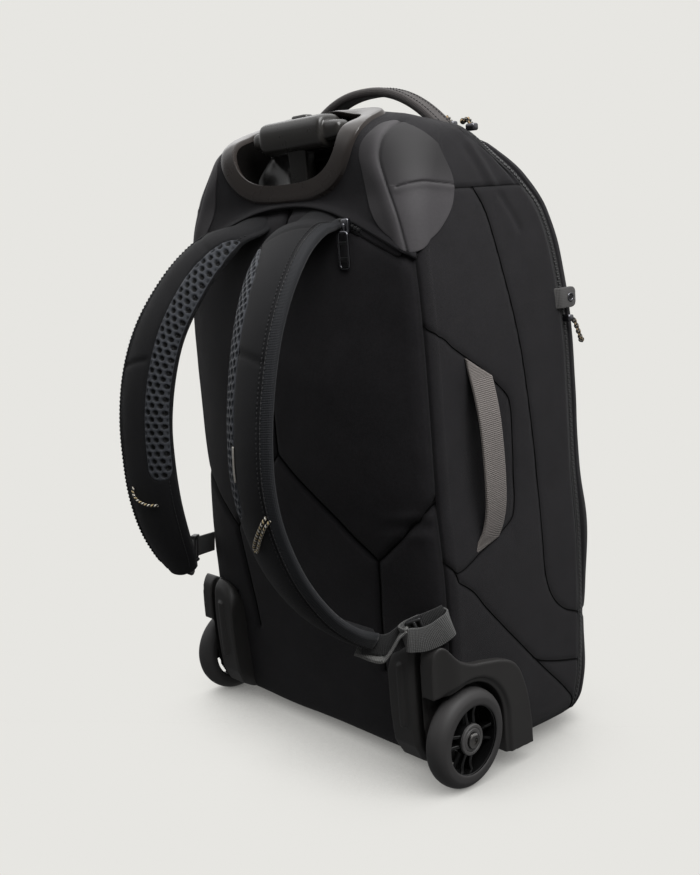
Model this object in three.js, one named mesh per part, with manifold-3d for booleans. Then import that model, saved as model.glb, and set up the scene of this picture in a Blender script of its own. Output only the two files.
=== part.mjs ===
// A wheeled backpack of black cloth with a single-post trolley handle, standing on two wheels and two front feet.
// Millimetres, +Z up, -Y is the harness side, +X is the side that carries the grey side handle.
import * as THREE from "three";
import { mergeVertices } from "three/addons/utils/BufferGeometryUtils.js";
import Module from "manifold-3d";

const wasm = await Module();
wasm.setup();

// ---------------------------------------------------------------- driving sizes
const LEAN_DEG = 6.3; // the bag leans back on its wheels
const Y_SHIFT = 49.6; // brings the middle of the footprint box to y = 0
const CLOTH = 2.5; // panel thickness
const FRONT_T = 6.5; // padded front with its flat pocket layers
const BASE_PAD = 6; // stiffened base
const GAP = 0.4; // clearance between pieces
const SEAM = 1.1; // clearance of the cloth panels to each side of a seam
const BACK_DOME = 31.5; // how far the padded back stands out in the middle
const FRONT_BULGE = 14;
const BASE_T = 12; // height of the base over the floor

const WHEEL_R = 42;
const WHEEL_X = 155.6; // mid-plane of each wheel
const WHEEL_W = 20;
const AXLE = { y: -61.7, z: 49.07 }; // in the leaning frame
const AXLE_R = 4.5;

const POST_Y = -48; // trolley post, on the middle plane
const GUIDE = { w: 32, d: 24, wall: 1.2, z0: 24.5, z1: 493 };
const STAGE = { w: 27.6, d: 19.6, wall: 1.2, z0: 32, z1: 498 };
const POST = { w: 22, d: 14, z0: 46, z1: 540 };

const ARCH = { top: 486, drop: 52, half: 148 }; // seam between back panel and yoke
const SIDE_TOP = 490; // seam between side panel and yoke
const ZIP = { s: 1.83, z: 440, rise: 103, p: 6, outer: 1.045, inner: 0.955 }; // course of the main zip round the front

const rad = THREE.MathUtils.degToRad;
const lerp = THREE.MathUtils.lerp;
const clamp = THREE.MathUtils.clamp;
const V = (x, y, z) => new THREE.Vector3(x, y, z);

// ---------------------------------------------------------------- tables
// Monotone cubic through named columns, looked up by the first column.
function table(columns, rows) {
  const key = columns[0];
  const col = {};
  columns.forEach((name, c) => (col[name] = rows.map((r) => r[c])));
  const x = col[key];
  const slopes = {};
  for (const name of columns.slice(1)) {
    const y = col[name];
    const d = x.slice(1).map((_, i) => (y[i + 1] - y[i]) / (x[i + 1] - x[i]));
    slopes[name] = x.map((_, i) => {
      if (i === 0) return d[0];
      if (i === x.length - 1) return d[i - 1];
      if (d[i - 1] * d[i] <= 0) return 0;
      return (2 * d[i - 1] * d[i]) / (d[i - 1] + d[i]);
    });
  }
  return (at) => {
    const t = clamp(at, x[0], x[x.length - 1]);
    let i = 0;
    while (i < x.length - 2 && t > x[i + 1]) i++;
    const h = x[i + 1] - x[i];
    const u = (t - x[i]) / h;
    const out = {};
    for (const name of columns.slice(1)) {
      const y = col[name],
        m = slopes[name];
      out[name] =
        y[i] * (2 * u ** 3 - 3 * u ** 2 + 1) +
        m[i] * h * (u ** 3 - 2 * u ** 2 + u) +
        y[i + 1] * (-2 * u ** 3 + 3 * u ** 2) +
        m[i + 1] * h * (u ** 3 - u ** 2);
    }
    return out;
  };
}

// The bag's plan at each height: half width, back, front, back corner and front corner radius.
const plan = table(
  ["t", "a", "yb", "yf", "rb", "rf"],
  [
    [12, 139, -66, 116, 14, 34],
    [17, 147, -71, 130, 14, 40],
    [30, 152, -74, 140, 15, 45],
    [60, 155, -75, 143, 16, 45],
    [173, 157, -75, 145, 16, 45],
    [253, 153, -75, 145, 16, 45],
    [350, 152, -75, 143.6, 16, 45],
    [397, 150.5, -75, 139.6, 16, 45],
    [432, 148, -75, 134.5, 16, 45],
    [467, 144, -75, 127, 22, 48],
    [498, 139, -74, 104, 34, 52],
    [520, 132, -71.5, 79, 46, 56],
    [533, 126, -69, 65, 52, 58],
    [547, 110, -62, 53, 56, 56],
    [555, 86, -50, 42, 45, 45],
    [559, 58, -34, 28, 30, 30],
    [560, 30, -18, 14, 15, 15],
  ],
);
const domeAt = table(
  ["t", "g"],
  [
    [12, 0],
    [60, 0.12],
    [120, 0.35],
    [198, 0.65],
    [281, 1],
    [340, 1],
    [400, 0.7],
    [440, 0.35],
    [470, 0],
    [492, -0.22],
    [520, -0.1],
    [540, 0],
  ],
);
const bulgeAt = table(
  ["t", "g"],
  [
    [12, 0.1],
    [80, 0.7],
    [200, 1],
    [350, 0.9],
    [450, 0.5],
    [530, 0.1],
    [560, 0],
  ],
);

// A point of the bag's outside. s runs 0 (middle of the back) to 5 (middle of the front), negative on the left.
function bag(s, t) {
  const { a, yb, yf, rb, rf } = plan(t);
  const q = Math.abs(s);
  let x, y;
  if (q <= 1) [x, y] = [(a - rb) * q, yb];
  else if (q <= 2) {
    const th = ((q - 1) * Math.PI) / 2;
    [x, y] = [a - rb + rb * Math.sin(th), yb + rb - rb * Math.cos(th)];
  } else if (q <= 3) [x, y] = [a, lerp(yb + rb, yf - rf, q - 2)];
  else if (q <= 4) {
    const th = ((q - 3) * Math.PI) / 2;
    [x, y] = [a - rf + rf * Math.cos(th), yf - rf + rf * Math.sin(th)];
  } else [x, y] = [(a - rf) * (5 - q), yf];
  if (q < 2) y -= BACK_DOME * domeAt(t).g * Math.max(0, 1 - (x / (a - 4)) ** 2);
  if (q > 3) y += FRONT_BULGE * bulgeAt(t).g * Math.max(0, 1 - (x / a) ** 2);
  const sink = clamp(1 - (t - BASE_T) / 190, 0, 1); // the base stays level with the floor
  return V(s < 0 ? -x : x, y, t - Math.tan(rad(LEAN_DEG)) * y * sink);
}

const archT = (s) =>
  ARCH.top -
  ARCH.drop * (Math.abs(bag(Math.min(Math.abs(s), 1.5), 455).x) / ARCH.half) ** 2.2;
const ease = (u) => u * u * (3 - 2 * u);
// Lower edge of the yoke: the arch on the back, level on the sides, the zip on the front.
function yokeLow(s) {
  const q = Math.abs(s);
  if (q <= 1.5) return archT(s);
  if (q <= 2.2) return lerp(archT(1.5), SIDE_TOP, ease((q - 1.5) / 0.7));
  const level = ((SIDE_TOP - ZIP.z) / ZIP.rise) ** ZIP.p;
  const r = ZIP.outer ** ZIP.p - ((5 - q) / ZIP.s) ** ZIP.p;
  return ZIP.z + ZIP.rise * Math.max(r, level) ** (1 / ZIP.p);
}
const zipS = (rho, t) =>
  5 -
  ZIP.s *
    Math.max(0, rho ** ZIP.p - (Math.max(0, t - ZIP.z) / ZIP.rise) ** ZIP.p) ** (1 / ZIP.p);

// ---------------------------------------------------------------- solids
function fromLists(verts, tris) {
  let vol = 0;
  for (const [i, j, k] of tris)
    vol += verts[i].dot(verts[j].clone().cross(verts[k]));
  const g = new THREE.BufferGeometry();
  g.setAttribute(
    "position",
    new THREE.Float32BufferAttribute(verts.flatMap((p) => [p.x, p.y, p.z]), 3),
  );
  g.setIndex(tris.flatMap(([i, j, k]) => (vol < 0 ? [i, k, j] : [i, j, k])));
  return g;
}
function solid(geometry) {
  const g = geometry.clone();
  g.deleteAttribute("normal");
  g.deleteAttribute("uv");
  const m = mergeVertices(g, 1e-4);
  return new wasm.Manifold(
    new wasm.Mesh({
      numProp: 3,
      vertProperties: new Float32Array(m.attributes.position.array),
      triVerts: new Uint32Array(m.index.array),
    }),
  );
}
function geometryOf(manifold) {
  const m = manifold.getMesh();
  const g = new THREE.BufferGeometry();
  g.setAttribute("position", new THREE.BufferAttribute(new Float32Array(m.vertProperties), 3));
  g.setIndex(new THREE.BufferAttribute(new Uint32Array(m.triVerts), 1));
  const flat = g.toNonIndexed();
  flat.computeVertexNormals();
  return flat;
}
const add = (...ms) => ms.reduce((a, b) => a.add(b));
const cut = (a, ...ms) => ms.reduce((x, b) => x.subtract(b), a);

// A curved slab over a grid of points: from d0 to d1 along the outward normal.
function slab(at, nu, nv, d0, d1, closed = false, capped = false) {
  const cols = closed ? nu : nu + 1;
  const P = (i, j) => at(closed ? (i + nu) % nu : clamp(i, 0, nu), clamp(j, 0, nv));
  const verts = [];
  for (const d of [d1, d0])
    for (let j = 0; j <= nv; j++)
      for (let i = 0; i < cols; i++) {
        const du = P(i + 1, j).sub(P(i - 1, j));
        const dv = P(i, j + 1).sub(P(i, j - 1));
        verts.push(P(i, j).addScaledVector(du.cross(dv).normalize(), d));
      }
  const layer = cols * (nv + 1);
  const id = (k, i, j) => k * layer + j * cols + (closed ? i % nu : i);
  const tris = [];
  const quad = (a, b, c, d) => tris.push([a, b, c], [a, c, d]);
  for (let j = 0; j < nv; j++)
    for (let i = 0; i < nu; i++) {
      quad(id(0, i, j), id(0, i + 1, j), id(0, i + 1, j + 1), id(0, i, j + 1));
      quad(id(1, i, j), id(1, i, j + 1), id(1, i + 1, j + 1), id(1, i + 1, j));
    }
  for (let i = 0; i < nu; i++) {
    quad(id(0, i, 0), id(1, i, 0), id(1, i + 1, 0), id(0, i + 1, 0));
    if (!capped)
      quad(id(0, i + 1, nv), id(1, i + 1, nv), id(1, i, nv), id(0, i, nv));
  }
  if (capped)
    for (const k of [0, 1]) {
      const mid = V(0, 0, 0);
      for (let i = 0; i < cols; i++)
        mid.addScaledVector(verts[id(k, i, nv)], 1 / cols);
      verts.push(mid);
      for (let i = 0; i < nu; i++) {
        const t = [id(k, i, nv), id(k, i + 1, nv), verts.length - 1];
        tris.push(k ? t.reverse() : t);
      }
    }
  if (!closed)
    for (let j = 0; j < nv; j++) {
      quad(id(0, 0, j + 1), id(1, 0, j + 1), id(1, 0, j), id(0, 0, j));
      quad(id(0, nu, j), id(1, nu, j), id(1, nu, j + 1), id(0, nu, j + 1));
    }
  return solid(fromLists(verts, tris));
}
// Rings of equal count joined into one closed solid.
function loft(rings) {
  const n = rings[0].length;
  const verts = rings.flat();
  const tris = [];
  for (let k = 0; k + 1 < rings.length; k++)
    for (let i = 0; i < n; i++) {
      const a = k * n + i,
        b = k * n + ((i + 1) % n);
      tris.push([a, b, b + n], [a, b + n, a + n]);
    }
  for (const k of [0, rings.length - 1]) {
    const mid = V(0, 0, 0);
    rings[k].forEach((p) => mid.addScaledVector(p, 1 / n));
    verts.push(mid);
    for (let i = 0; i < n; i++) {
      const t = [k * n + i, verts.length - 1, k * n + ((i + 1) % n)];
      tris.push(k ? t.reverse() : t);
    }
  }
  return solid(fromLists(verts, tris));
}
const box = (x0, x1, y0, y1, z0, z1) =>
  solid(
    new THREE.BoxGeometry(x1 - x0, y1 - y0, z1 - z0).translate(
      (x0 + x1) / 2,
      (y0 + y1) / 2,
      (z0 + z1) / 2,
    ),
  );
// A side outline (y, z) run along X.
const prism = (outline, x0, x1) =>
  loft([x0, x1].map((x) => outline.map(([y, z]) => V(x, y, z))));
const rodX = (r, x0, x1, y, z, n = 40) =>
  prism(
    Array.from({ length: n }, (_, i) => {
      const a = (2 * Math.PI * i) / n;
      return [y + r * Math.sin(a), z - r * Math.cos(a)];
    }),
    x0,
    x1,
  );
// Moves the edges of a side outline inwards by d.
function inset(outline, d) {
  const n = outline.length;
  let area = 0;
  outline.forEach(([y, z], i) => {
    const [y2, z2] = outline[(i + 1) % n];
    area += y * z2 - y2 * z;
  });
  const turn = Math.sign(area);
  return outline.map((p, i) => {
    const a = outline[(i + n - 1) % n],
      c = outline[(i + 1) % n];
    const unit = ([y0, z0], [y1, z1]) => {
      const l = Math.hypot(y1 - y0, z1 - z0);
      return [(y1 - y0) / l, (z1 - z0) / l];
    };
    const [e, f] = [unit(a, p), unit(p, c)];
    const n1 = [-e[1] * turn, e[0] * turn],
      n2 = [-f[1] * turn, f[0] * turn];
    const k = d / (1 + n1[0] * n2[0] + n1[1] * n2[1]);
    return [p[0] + (n1[0] + n2[0]) * k, p[1] + (n1[1] + n2[1]) * k];
  });
}
// A flat or padded band along stations {p, w, hw, ht}: w is the width direction.
function band(stations, corner = 0.35) {
  const section = [];
  for (let i = 0; i < 12; i++) {
    const a = (2 * Math.PI * (i + 0.5)) / 12;
    const k = corner;
    section.push([
      Math.sign(Math.cos(a)) * Math.abs(Math.cos(a)) ** k,
      Math.sign(Math.sin(a)) * Math.abs(Math.sin(a)) ** k,
    ]);
  }
  const n = stations.length;
  return loft(
    stations.map(({ p, w, hw, ht }, i) => {
      const tan = stations[Math.min(i + 1, n - 1)].p
        .clone()
        .sub(stations[Math.max(i - 1, 0)].p)
        .normalize();
      const wide = w.clone().addScaledVector(tan, -w.dot(tan)).normalize();
      const thick = tan.clone().cross(wide).normalize();
      return section.map(([u, v]) =>
        p.clone().addScaledVector(wide, u * hw).addScaledVector(thick, v * ht),
      );
    }),
  );
}
// A round cord through points.
function cord(points, r, steps = 14) {
  const curve = new THREE.CatmullRomCurve3(points);
  const shape = new THREE.Shape();
  for (let i = 0; i < 8; i++) {
    const a = (Math.PI * i) / 4;
    shape[i ? "lineTo" : "moveTo"](r * Math.cos(a), r * Math.sin(a));
  }
  shape.closePath();
  return solid(
    new THREE.ExtrudeGeometry(shape, { steps, extrudePath: curve, curveSegments: 1 }),
  );
}
const mirrorX = (m) => m.mirror([1, 0, 0]);

// The bag as one filled solid, its surface moved out by d.
function filled(d) {
  const N = 44;
  const rows = [14, 40, 110, 200, 290, 370, 430, 465, 498, 520, 535, 547, 555, 560];
  const S = (i) => -5 + (10 * i) / N;
  const ring = (j) => {
    const out = [];
    for (let i = 0; i < N; i++) {
      const e = 0.04;
      const t0 = Math.max(rows[j] - 1, 12),
        t1 = Math.min(rows[j] + 1, 560);
      const du = bag(clamp(S(i) + e, -5, 5), rows[j]).sub(bag(clamp(S(i) - e, -5, 5), rows[j]));
      const dv = bag(S(i), t1).sub(bag(S(i), t0));
      out.push(bag(S(i), rows[j]).addScaledVector(du.cross(dv).normalize(), d));
    }
    return out;
  };
  return loft(rows.map((_, j) => ring(j)));
}
const hullOut = filled(1.2);

// ---------------------------------------------------------------- group and materials
const root = new THREE.Group();
root.name = "wheeled_backpack";
root.position.y = Y_SHIFT;
const bagGroup = new THREE.Group();
bagGroup.name = "leaning_bag";
bagGroup.rotation.x = rad(LEAN_DEG);
root.add(bagGroup);

function piece(name, manifold, colour, roughness = 0.9, metalness = 0, group = bagGroup) {
  const mesh = new THREE.Mesh(
    geometryOf(manifold),
    new THREE.MeshStandardMaterial({ color: colour, roughness, metalness }),
  );
  mesh.name = name;
  group.add(mesh);
}
const CLOTH_BLACK = 0x232325,
  PATCH_GREY = 0x4b4a4c,
  BEZEL = 0x3a3633,
  HOUSING = 0x2f2e2e,
  TYRE = 0x343434,
  GLOSS_BLACK = 0x141414,
  STEEL = 0x8a8c90,
  WEBBING = 0x555555,
  GREY_WEBBING = 0x969188,
  MESH_GREY = 0x3c4046;

// ---------------------------------------------------------------- wheel housing
// Side outline of the moulded housing (y, z), from the rear foot of the strip round over the wheel to the front arm.
const floorLine = (y) => 14.1 - Math.tan(rad(LEAN_DEG)) * y;
const HOUSE = [
  [-92, 46],
  [-94, 70],
  [-94, 118],
  [-91, 131],
  [-84, 136],
  [-71, 122],
  [-55, 113],
  [-39, 109],
  [-17, 103],
  [-4, 97],
  [5, 88],
  [12, 73],
  [17, 55],
  [20, 30],
  [20.5, floorLine(20.5)],
  [-50, floorLine(-50)],
  [-72, floorLine(-72)],
  [-85, 31],
];
const HOUSE_X = { in: 106, well: 141, out: 163, wall: 3 };
const WELL_R = 47;
function housing() {
  const { in: x0, well, out: x1, wall } = HOUSE_X;
  const full = prism(HOUSE, x0, x1);
  const hollow = prism(inset(HOUSE, wall), x0 - 5, x1 - wall);
  const well1 = add(
    rodX(WELL_R + wall, well - wall, x1 + 5, AXLE.y, AXLE.z),
    box(well - wall, x1 + 5, -120, AXLE.y, -20, 93 + wall),
    box(well - wall, x1 + 5, AXLE.y, -11.5 + wall, -20, AXLE.z),
  );
  const well0 = add(
    rodX(WELL_R, well, x1 + 6, AXLE.y, AXLE.z),
    box(well, x1 + 6, -121, AXLE.y, -21, 93),
    box(well, x1 + 6, AXLE.y, -11.5, -21, AXLE.z),
  );
  const rib = box(119, 122, -97, -93, 68, 117); // raised edge of the slot on the strip
  const slot = box(119.8, 121.2, -99, -94.5, 69, 116);
  return cut(add(cut(full, cut(hollow, well1)), rib), well0, slot);
}
const houseSolid = housing();
const houseCut = prism(inset(HOUSE, -GAP), HOUSE_X.in - GAP, 175);
const bothHouses = add(houseCut, mirrorX(houseCut));
piece("wheel_housing_right", houseSolid, HOUSING, 0.65);
piece("wheel_housing_left", mirrorX(houseSolid), HOUSING, 0.65);

// ---------------------------------------------------------------- trolley handle cup
// The cup's mouth faces up and back; (x, w) are measured in its own plane.
const MOUTH = { tilt: 44, half: 76, w0: 304, w1: 392, r: 34, rim: 13.5, floor: 388, wall: 3 };
const eW = V(0, Math.cos(rad(90 - MOUTH.tilt)), Math.sin(rad(90 - MOUTH.tilt)));
const eN = V(0, -eW.z, eW.y);
function mouth(grow, n0, n1) {
  const { half, w0, w1, r } = MOUTH;
  const [hx, lo, hi, rr] = [half + grow, w0 - grow, w1 + grow, r + grow];
  const pts = [];
  for (const [cx, cw, a0] of [
    [hx - rr, lo + rr, -90],
    [hx - rr, hi - rr, 0],
    [-hx + rr, hi - rr, 90],
    [-hx + rr, lo + rr, 180],
  ])
    for (let i = 0; i <= 6; i++) {
      const a = rad(a0 + 15 * i);
      pts.push([cx + rr * Math.cos(a), cw + rr * Math.sin(a)]);
    }
  return loft(
    [n0, n1].map((n) =>
      pts.map(([x, w]) => V(x, 0, 0).addScaledVector(eW, w).addScaledVector(eN, n)),
    ),
  );
}
const skin = cut(filled(4), filled(-4));
const bezel = cut(skin.intersect(mouth(0, 300, 470)), mouth(-MOUTH.rim, 300, 470));
const cupOut = mouth(-MOUTH.rim + MOUTH.wall, MOUTH.floor - MOUTH.wall, 470).intersect(filled(3.5));
const postHole = box(-14.4, 14.4, POST_Y - 10.4, POST_Y + 10.4, 460, 580);
const cup = cut(add(bezel, cupOut), mouth(-MOUTH.rim, MOUTH.floor, 480), postHole);
piece("handle_cup", cup, BEZEL, 0.35);
const cupCut = add(
  mouth(GAP, 340, 470),
  mouth(-MOUTH.rim + MOUTH.wall + GAP, MOUTH.floor - MOUTH.wall - GAP, 470),
);

// ---------------------------------------------------------------- cloth body
const backPanel = slab(
  (i, j) => {
    const s = lerp(-1.47, 1.47, i / 14);
    return bag(s, lerp(14, archT(s) - SEAM, j / 12));
  },
  14,
  12,
  -CLOTH,
  0,
);
piece("back_panel", cut(backPanel, bothHouses), CLOTH_BLACK);

// Columns round the yoke, closer where its edge turns up along the zip.
const yokeHalf = [
  0, 0.2, 0.4, 0.6, 0.8, 1, 1.2, 1.4, 1.6, 1.8, 2, 2.2, 2.45, 2.7, 2.92, 3.06, 3.09, 3.12, 3.17, 3.25, 3.4, 3.6, 3.85, 4.15, 4.55,
];
const yokeS = [-5, ...yokeHalf.slice(1).reverse().map((s) => -s), ...yokeHalf];
const YOKE_N = yokeS.length;
const yoke = slab(
  (i, j) => {
    const s = yokeS[i];
    const low = yokeLow(s) + SEAM;
    const rows = [0, 0.3, 0.55, 0.75, 0.88, 0.96, 0.992];
    return bag(s, lerp(low, 560, rows[j]));
  },
  YOKE_N,
  6,
  -CLOTH,
  0,
  true,
  true,
);
piece("top_yoke", cut(yoke, cupCut), CLOTH_BLACK);

// Heights of the wall panels' rows, closer where the foot of the bag turns in.
const WALL_ROWS = [14, 18, 30, 60, 110, 173, 230, 290, 350, 400, 440];
const sideLevels = [...WALL_ROWS, 470, SIDE_TOP - 3 * SEAM];
const sidePanel = slab(
  (i, j) => {
    const s0 = lerp(1.53, 3.08, i / 10);
    const u = (sideLevels[j] - 14) / (SIDE_TOP - 3 * SEAM - 14);
    const t = lerp(14, yokeLow(s0) - 3 * SEAM, u);
    return bag(lerp(1.53, zipS(ZIP.outer, t), i / 10), t);
  },
  10,
  sideLevels.length - 1,
  -CLOTH,
  0,
);
const sideCut = cut(sidePanel, houseCut);
piece("side_panel_right", sideCut, CLOTH_BLACK);
piece("side_panel_left", mirrorX(sideCut), CLOTH_BLACK);

const frontRows = [...WALL_ROWS, 470, 495, 512, 522, 530, 535];
piece(
  "front_panel",
  slab(
    (i, j) => {
      const t = frontRows[j];
      const u = lerp(-1, 1, i / 12); // left edge to right edge, seen from inside
      const s = 5 - Math.abs(u) * (5 - zipS(ZIP.inner, t));
      return bag(u < 0 ? s : -s, t);
    },
    12,
    frontRows.length - 1,
    -FRONT_T,
    0,
  ),
  CLOTH_BLACK,
);

const BASE_MID = 21; // middle of the base, front to back
const baseRing = Array.from({ length: 48 }, (_, i) => bag(-5 + (10 * i) / 48, 12.4));
piece(
  "base_panel",
  cut(
    loft(
      // the pad on top of the base stands clear of the walls round it
      [
        [-2, 1],
        [0.8, 1],
        [0.9, 0.9],
        [BASE_PAD - 2, 0.9],
      ].map(([d, k]) =>
        baseRing.map((p) => V(p.x * k, BASE_MID + (p.y - BASE_MID) * k, p.z + d)),
      ),
    ),
    bothHouses,
  ),
  CLOTH_BLACK,
);

// Smooth grey patches over both top back corners.
const patchEdge = table(
  ["t", "s0", "s1"],
  [
    [447, 1.42, 1.58],
    [458, 1.16, 1.82],
    [478, 0.97, 2.05],
    [500, 0.9, 2.14],
    [520, 0.88, 2.08],
    [541, 0.9, 1.95],
  ],
);
const PATCH_LIFT = 1.25; // the patch lies over the seams
const patch = cut(
  slab(
    (i, j) => {
      const t = lerp(447, 541, j / 7);
      const { s0, s1 } = patchEdge(t);
      return bag(lerp(s0, s1, i / 9), t);
    },
    9,
    7,
    PATCH_LIFT,
    PATCH_LIFT + 1.2,
  ),
  cupCut,
);
piece("corner_patch_right", patch, PATCH_GREY, 0.6);
piece("corner_patch_left", mirrorX(patch), PATCH_GREY, 0.6);

// ---------------------------------------------------------------- zips
// One half of the zip's course: up the corner, round the bend and across to the middle.
const bend = (c) => Math.max(0, c) ** (1 / ZIP.p);
const zipHalf = [
  ...WALL_ROWS.map((t) => [1, (Math.max(t, 16) - ZIP.z) / ZIP.rise]),
  ...[0.13, 0.26, 0.39, 0.52, 0.65, 0.77, 0.87].map((w) => [bend(1 - w ** ZIP.p), w]),
  ...[0.88, 0.77, 0.64, 0.5, 0.35, 0.18, 0].map((v) => [v, bend(1 - v ** ZIP.p)]),
];
const ZIP_STEPS = 2 * (zipHalf.length - 1);
const zipStrip = (grow, d0, d1) =>
  slab(
    (i, j) => {
      const rho = lerp(1.028 + grow, 0.972 - grow, j);
      const [across, up] = zipHalf[Math.min(i, ZIP_STEPS - i)];
      const s = 5 - ZIP.s * rho * across;
      return bag(2 * i > ZIP_STEPS ? -s : s, ZIP.z + ZIP.rise * (up > 0 ? rho : 1) * up);
    },
    ZIP_STEPS,
    1,
    d0,
    d1,
  );
piece("main_zip", zipStrip(0, -1.2, 0.6), GLOSS_BLACK, 0.5);
const zipCut = zipStrip(0.008, -2, 1.2);
const harnessZip = slab(
  (i, j) => {
    const s = lerp(0.55, 1.36, i / 8);
    return bag(s, archT(s) + lerp(-4, 4, j));
  },
  8,
  1,
  1,
  2.2,
);

// ---------------------------------------------------------------- trolley handle
const tube = (w, d, z0, z1) => box(-w / 2, w / 2, POST_Y - d / 2, POST_Y + d / 2, z0, z1);
piece(
  "guide_tube",
  cut(tube(GUIDE.w, GUIDE.d, GUIDE.z0, GUIDE.z1), tube(GUIDE.w - 2 * GUIDE.wall, GUIDE.d - 2 * GUIDE.wall, 0, 600)),
  STEEL,
  0.4,
  0.9,
);
piece(
  "middle_tube",
  cut(tube(STAGE.w, STAGE.d, STAGE.z0, STAGE.z1), tube(STAGE.w - 2 * STAGE.wall, STAGE.d - 2 * STAGE.wall, 0, 600)),
  STEEL,
  0.4,
  0.9,
);
const gripShape = table(
  ["x", "hz", "hy"],
  [
    [0, 12, 14],
    [33, 12, 14],
    [39, 10.5, 12.5],
    [42, 8, 9],
    [51, 7, 8],
    [55, 4, 5],
  ],
);
const GRIP_Z = 546;
const gripX = [-55, -51, -42, -39, -33, 0, 33, 39, 42, 51, 55];
const gripBar = loft(
  gripX.map((x) => {
    const { hz, hy } = gripShape(Math.abs(x));
    return Array.from({ length: 16 }, (_, i) => {
      const a = (2 * Math.PI * (i + 0.5)) / 16;
      const f = (c) => Math.sign(c) * Math.abs(c) ** 0.6;
      return V(x, POST_Y + hy * f(Math.cos(a)), GRIP_Z + hz * f(Math.sin(a)));
    });
  }),
);
const BUTTON = { hx: 10, y: POST_Y + 4, hy: 5, z0: 554, z1: 561.5, travel: 2.5 };
const grip = cut(
  add(gripBar, tube(POST.w, POST.d, POST.z0, POST.z1)),
  tube(POST.w - 3, POST.d - 3, 0, 525),
  box(-BUTTON.hx - GAP, BUTTON.hx + GAP, BUTTON.y - BUTTON.hy - GAP, BUTTON.y + BUTTON.hy + GAP, BUTTON.z0 - BUTTON.travel - 0.6, 600),
);
piece("trolley_grip", grip, GLOSS_BLACK, 0.4);
piece(
  "grip_button",
  box(-BUTTON.hx, BUTTON.hx, BUTTON.y - BUTTON.hy, BUTTON.y + BUTTON.hy, BUTTON.z0, BUTTON.z1),
  GLOSS_BLACK,
  0.45,
);

// ---------------------------------------------------------------- wheels
function lathe(profile, n = 32) {
  // profile of (x, r) turned about the X axis, closed on itself
  const rings = profile.map(([x, r]) =>
    Array.from({ length: n }, (_, i) => {
      const a = (2 * Math.PI * i) / n;
      return V(x, r * Math.sin(a), -r * Math.cos(a));
    }),
  );
  const verts = rings.flat();
  const tris = [];
  const m = profile.length;
  for (let k = 0; k < m; k++)
    for (let i = 0; i < n; i++) {
      const a = k * n + i,
        b = k * n + ((i + 1) % n),
        c = ((k + 1) % m) * n + ((i + 1) % n),
        d = ((k + 1) % m) * n + i;
      tris.push([a, b, c], [a, c, d]);
    }
  return solid(fromLists(verts, tris));
}
const HW = WHEEL_W / 2;
const tyre = lathe([
  [-HW, 32],
  [-HW, 38.5],
  [-HW + 4, 41.3],
  [0, WHEEL_R],
  [HW - 4, 41.3],
  [HW, 38.5],
  [HW, 32],
]);
function hub() {
  const rim = lathe([
    [-HW + 0.5, 28.5],
    [-HW + 0.5, 31.6],
    [HW - 0.5, 31.6],
    [HW - 0.5, 28.5],
  ]);
  const boss = lathe([
    [-HW + 0.5, 5],
    [-HW + 0.5, 12.5],
    [HW - 1.5, 12.5],
    [HW - 1.5, 5],
  ]);
  let all = add(rim, boss);
  for (let i = 0; i < 6; i++) {
    const spoke = box(-5, HW - 4, -2.8, 2.8, 11, 30).rotate([60 * i + 12, 0, 0]);
    all = all.add(spoke);
  }
  return all;
}
const hubSolid = hub();
for (const side of [1, -1]) {
  const name = side > 0 ? "right" : "left";
  const wheelGroup = new THREE.Group();
  wheelGroup.name = "wheel_" + name;
  wheelGroup.position.set(side * WHEEL_X, AXLE.y, AXLE.z);
  wheelGroup.rotation.x = -rad(LEAN_DEG);
  bagGroup.add(wheelGroup);
  const face = (m) => (side > 0 ? m : mirrorX(m));
  piece("tyre_" + name, face(tyre), TYRE, 0.8, 0, wheelGroup);
  piece("hub_" + name, face(hubSolid), GLOSS_BLACK, 0.25, 0, wheelGroup);
  const bolt = add(
    rodX(AXLE_R, HOUSE_X.well + GAP, WHEEL_X + HW, AXLE.y, AXLE.z, 20),
    rodX(7.5, WHEEL_X + HW - 0.9, WHEEL_X + HW + 1.6, AXLE.y, AXLE.z, 20),
  );
  piece("axle_" + name, face(bolt), STEEL, 0.35, 0.8);
}
// Front feet under the base.
const FOOT = { x: 95, hx: 26, y0: 78, y1: 98, top: 10 };
for (const side of [1, -1])
  piece(
    "front_foot_" + (side > 0 ? "right" : "left"),
    box(side * FOOT.x - FOOT.hx, side * FOOT.x + FOOT.hx, FOOT.y0, FOOT.y1, 0, FOOT.top),
    HOUSING,
    0.7,
    0,
    root,
  );

// ---------------------------------------------------------------- harness
const STRAP_T = 7; // half thickness of the padding
const strapColumns = ["x", "y", "z", "hw", "turn"];
const strapRows = {
  right: [
    [40, -77, 471, 30, 0],
    [46, -102, 466, 31, 4],
    [54, -128, 451, 32, 8],
    [64, -153, 428, 33, 10],
    [73, -174, 397, 34, 12],
    [79, -189, 360, 35, 13],
    [82, -197, 322, 35, 13],
    [83, -199, 285, 35, 13],
    [85, -194, 250, 35, 13],
    [90, -182, 215, 34, 12],
    [98, -162, 184, 30, 12],
    [108, -138, 160, 24, 14],
    [116, -118, 146, 15, 16],
  ],
  left: [
    [46, -77, 471, 29, 0],
    [54, -100, 464, 29, 4],
    [63, -122, 446, 29, 8],
    [72, -143, 420, 29, 10],
    [80, -160, 390, 29, 12],
    [85, -172, 355, 29.5, 13],
    [87, -179, 318, 29.5, 13],
    [87, -181, 282, 29.5, 13],
    [88, -179, 248, 29.5, 13],
    [90, -172, 215, 28.5, 12],
    [93, -162, 190, 24, 12],
    [96, -153, 174, 16, 14],
  ],
};
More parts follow.
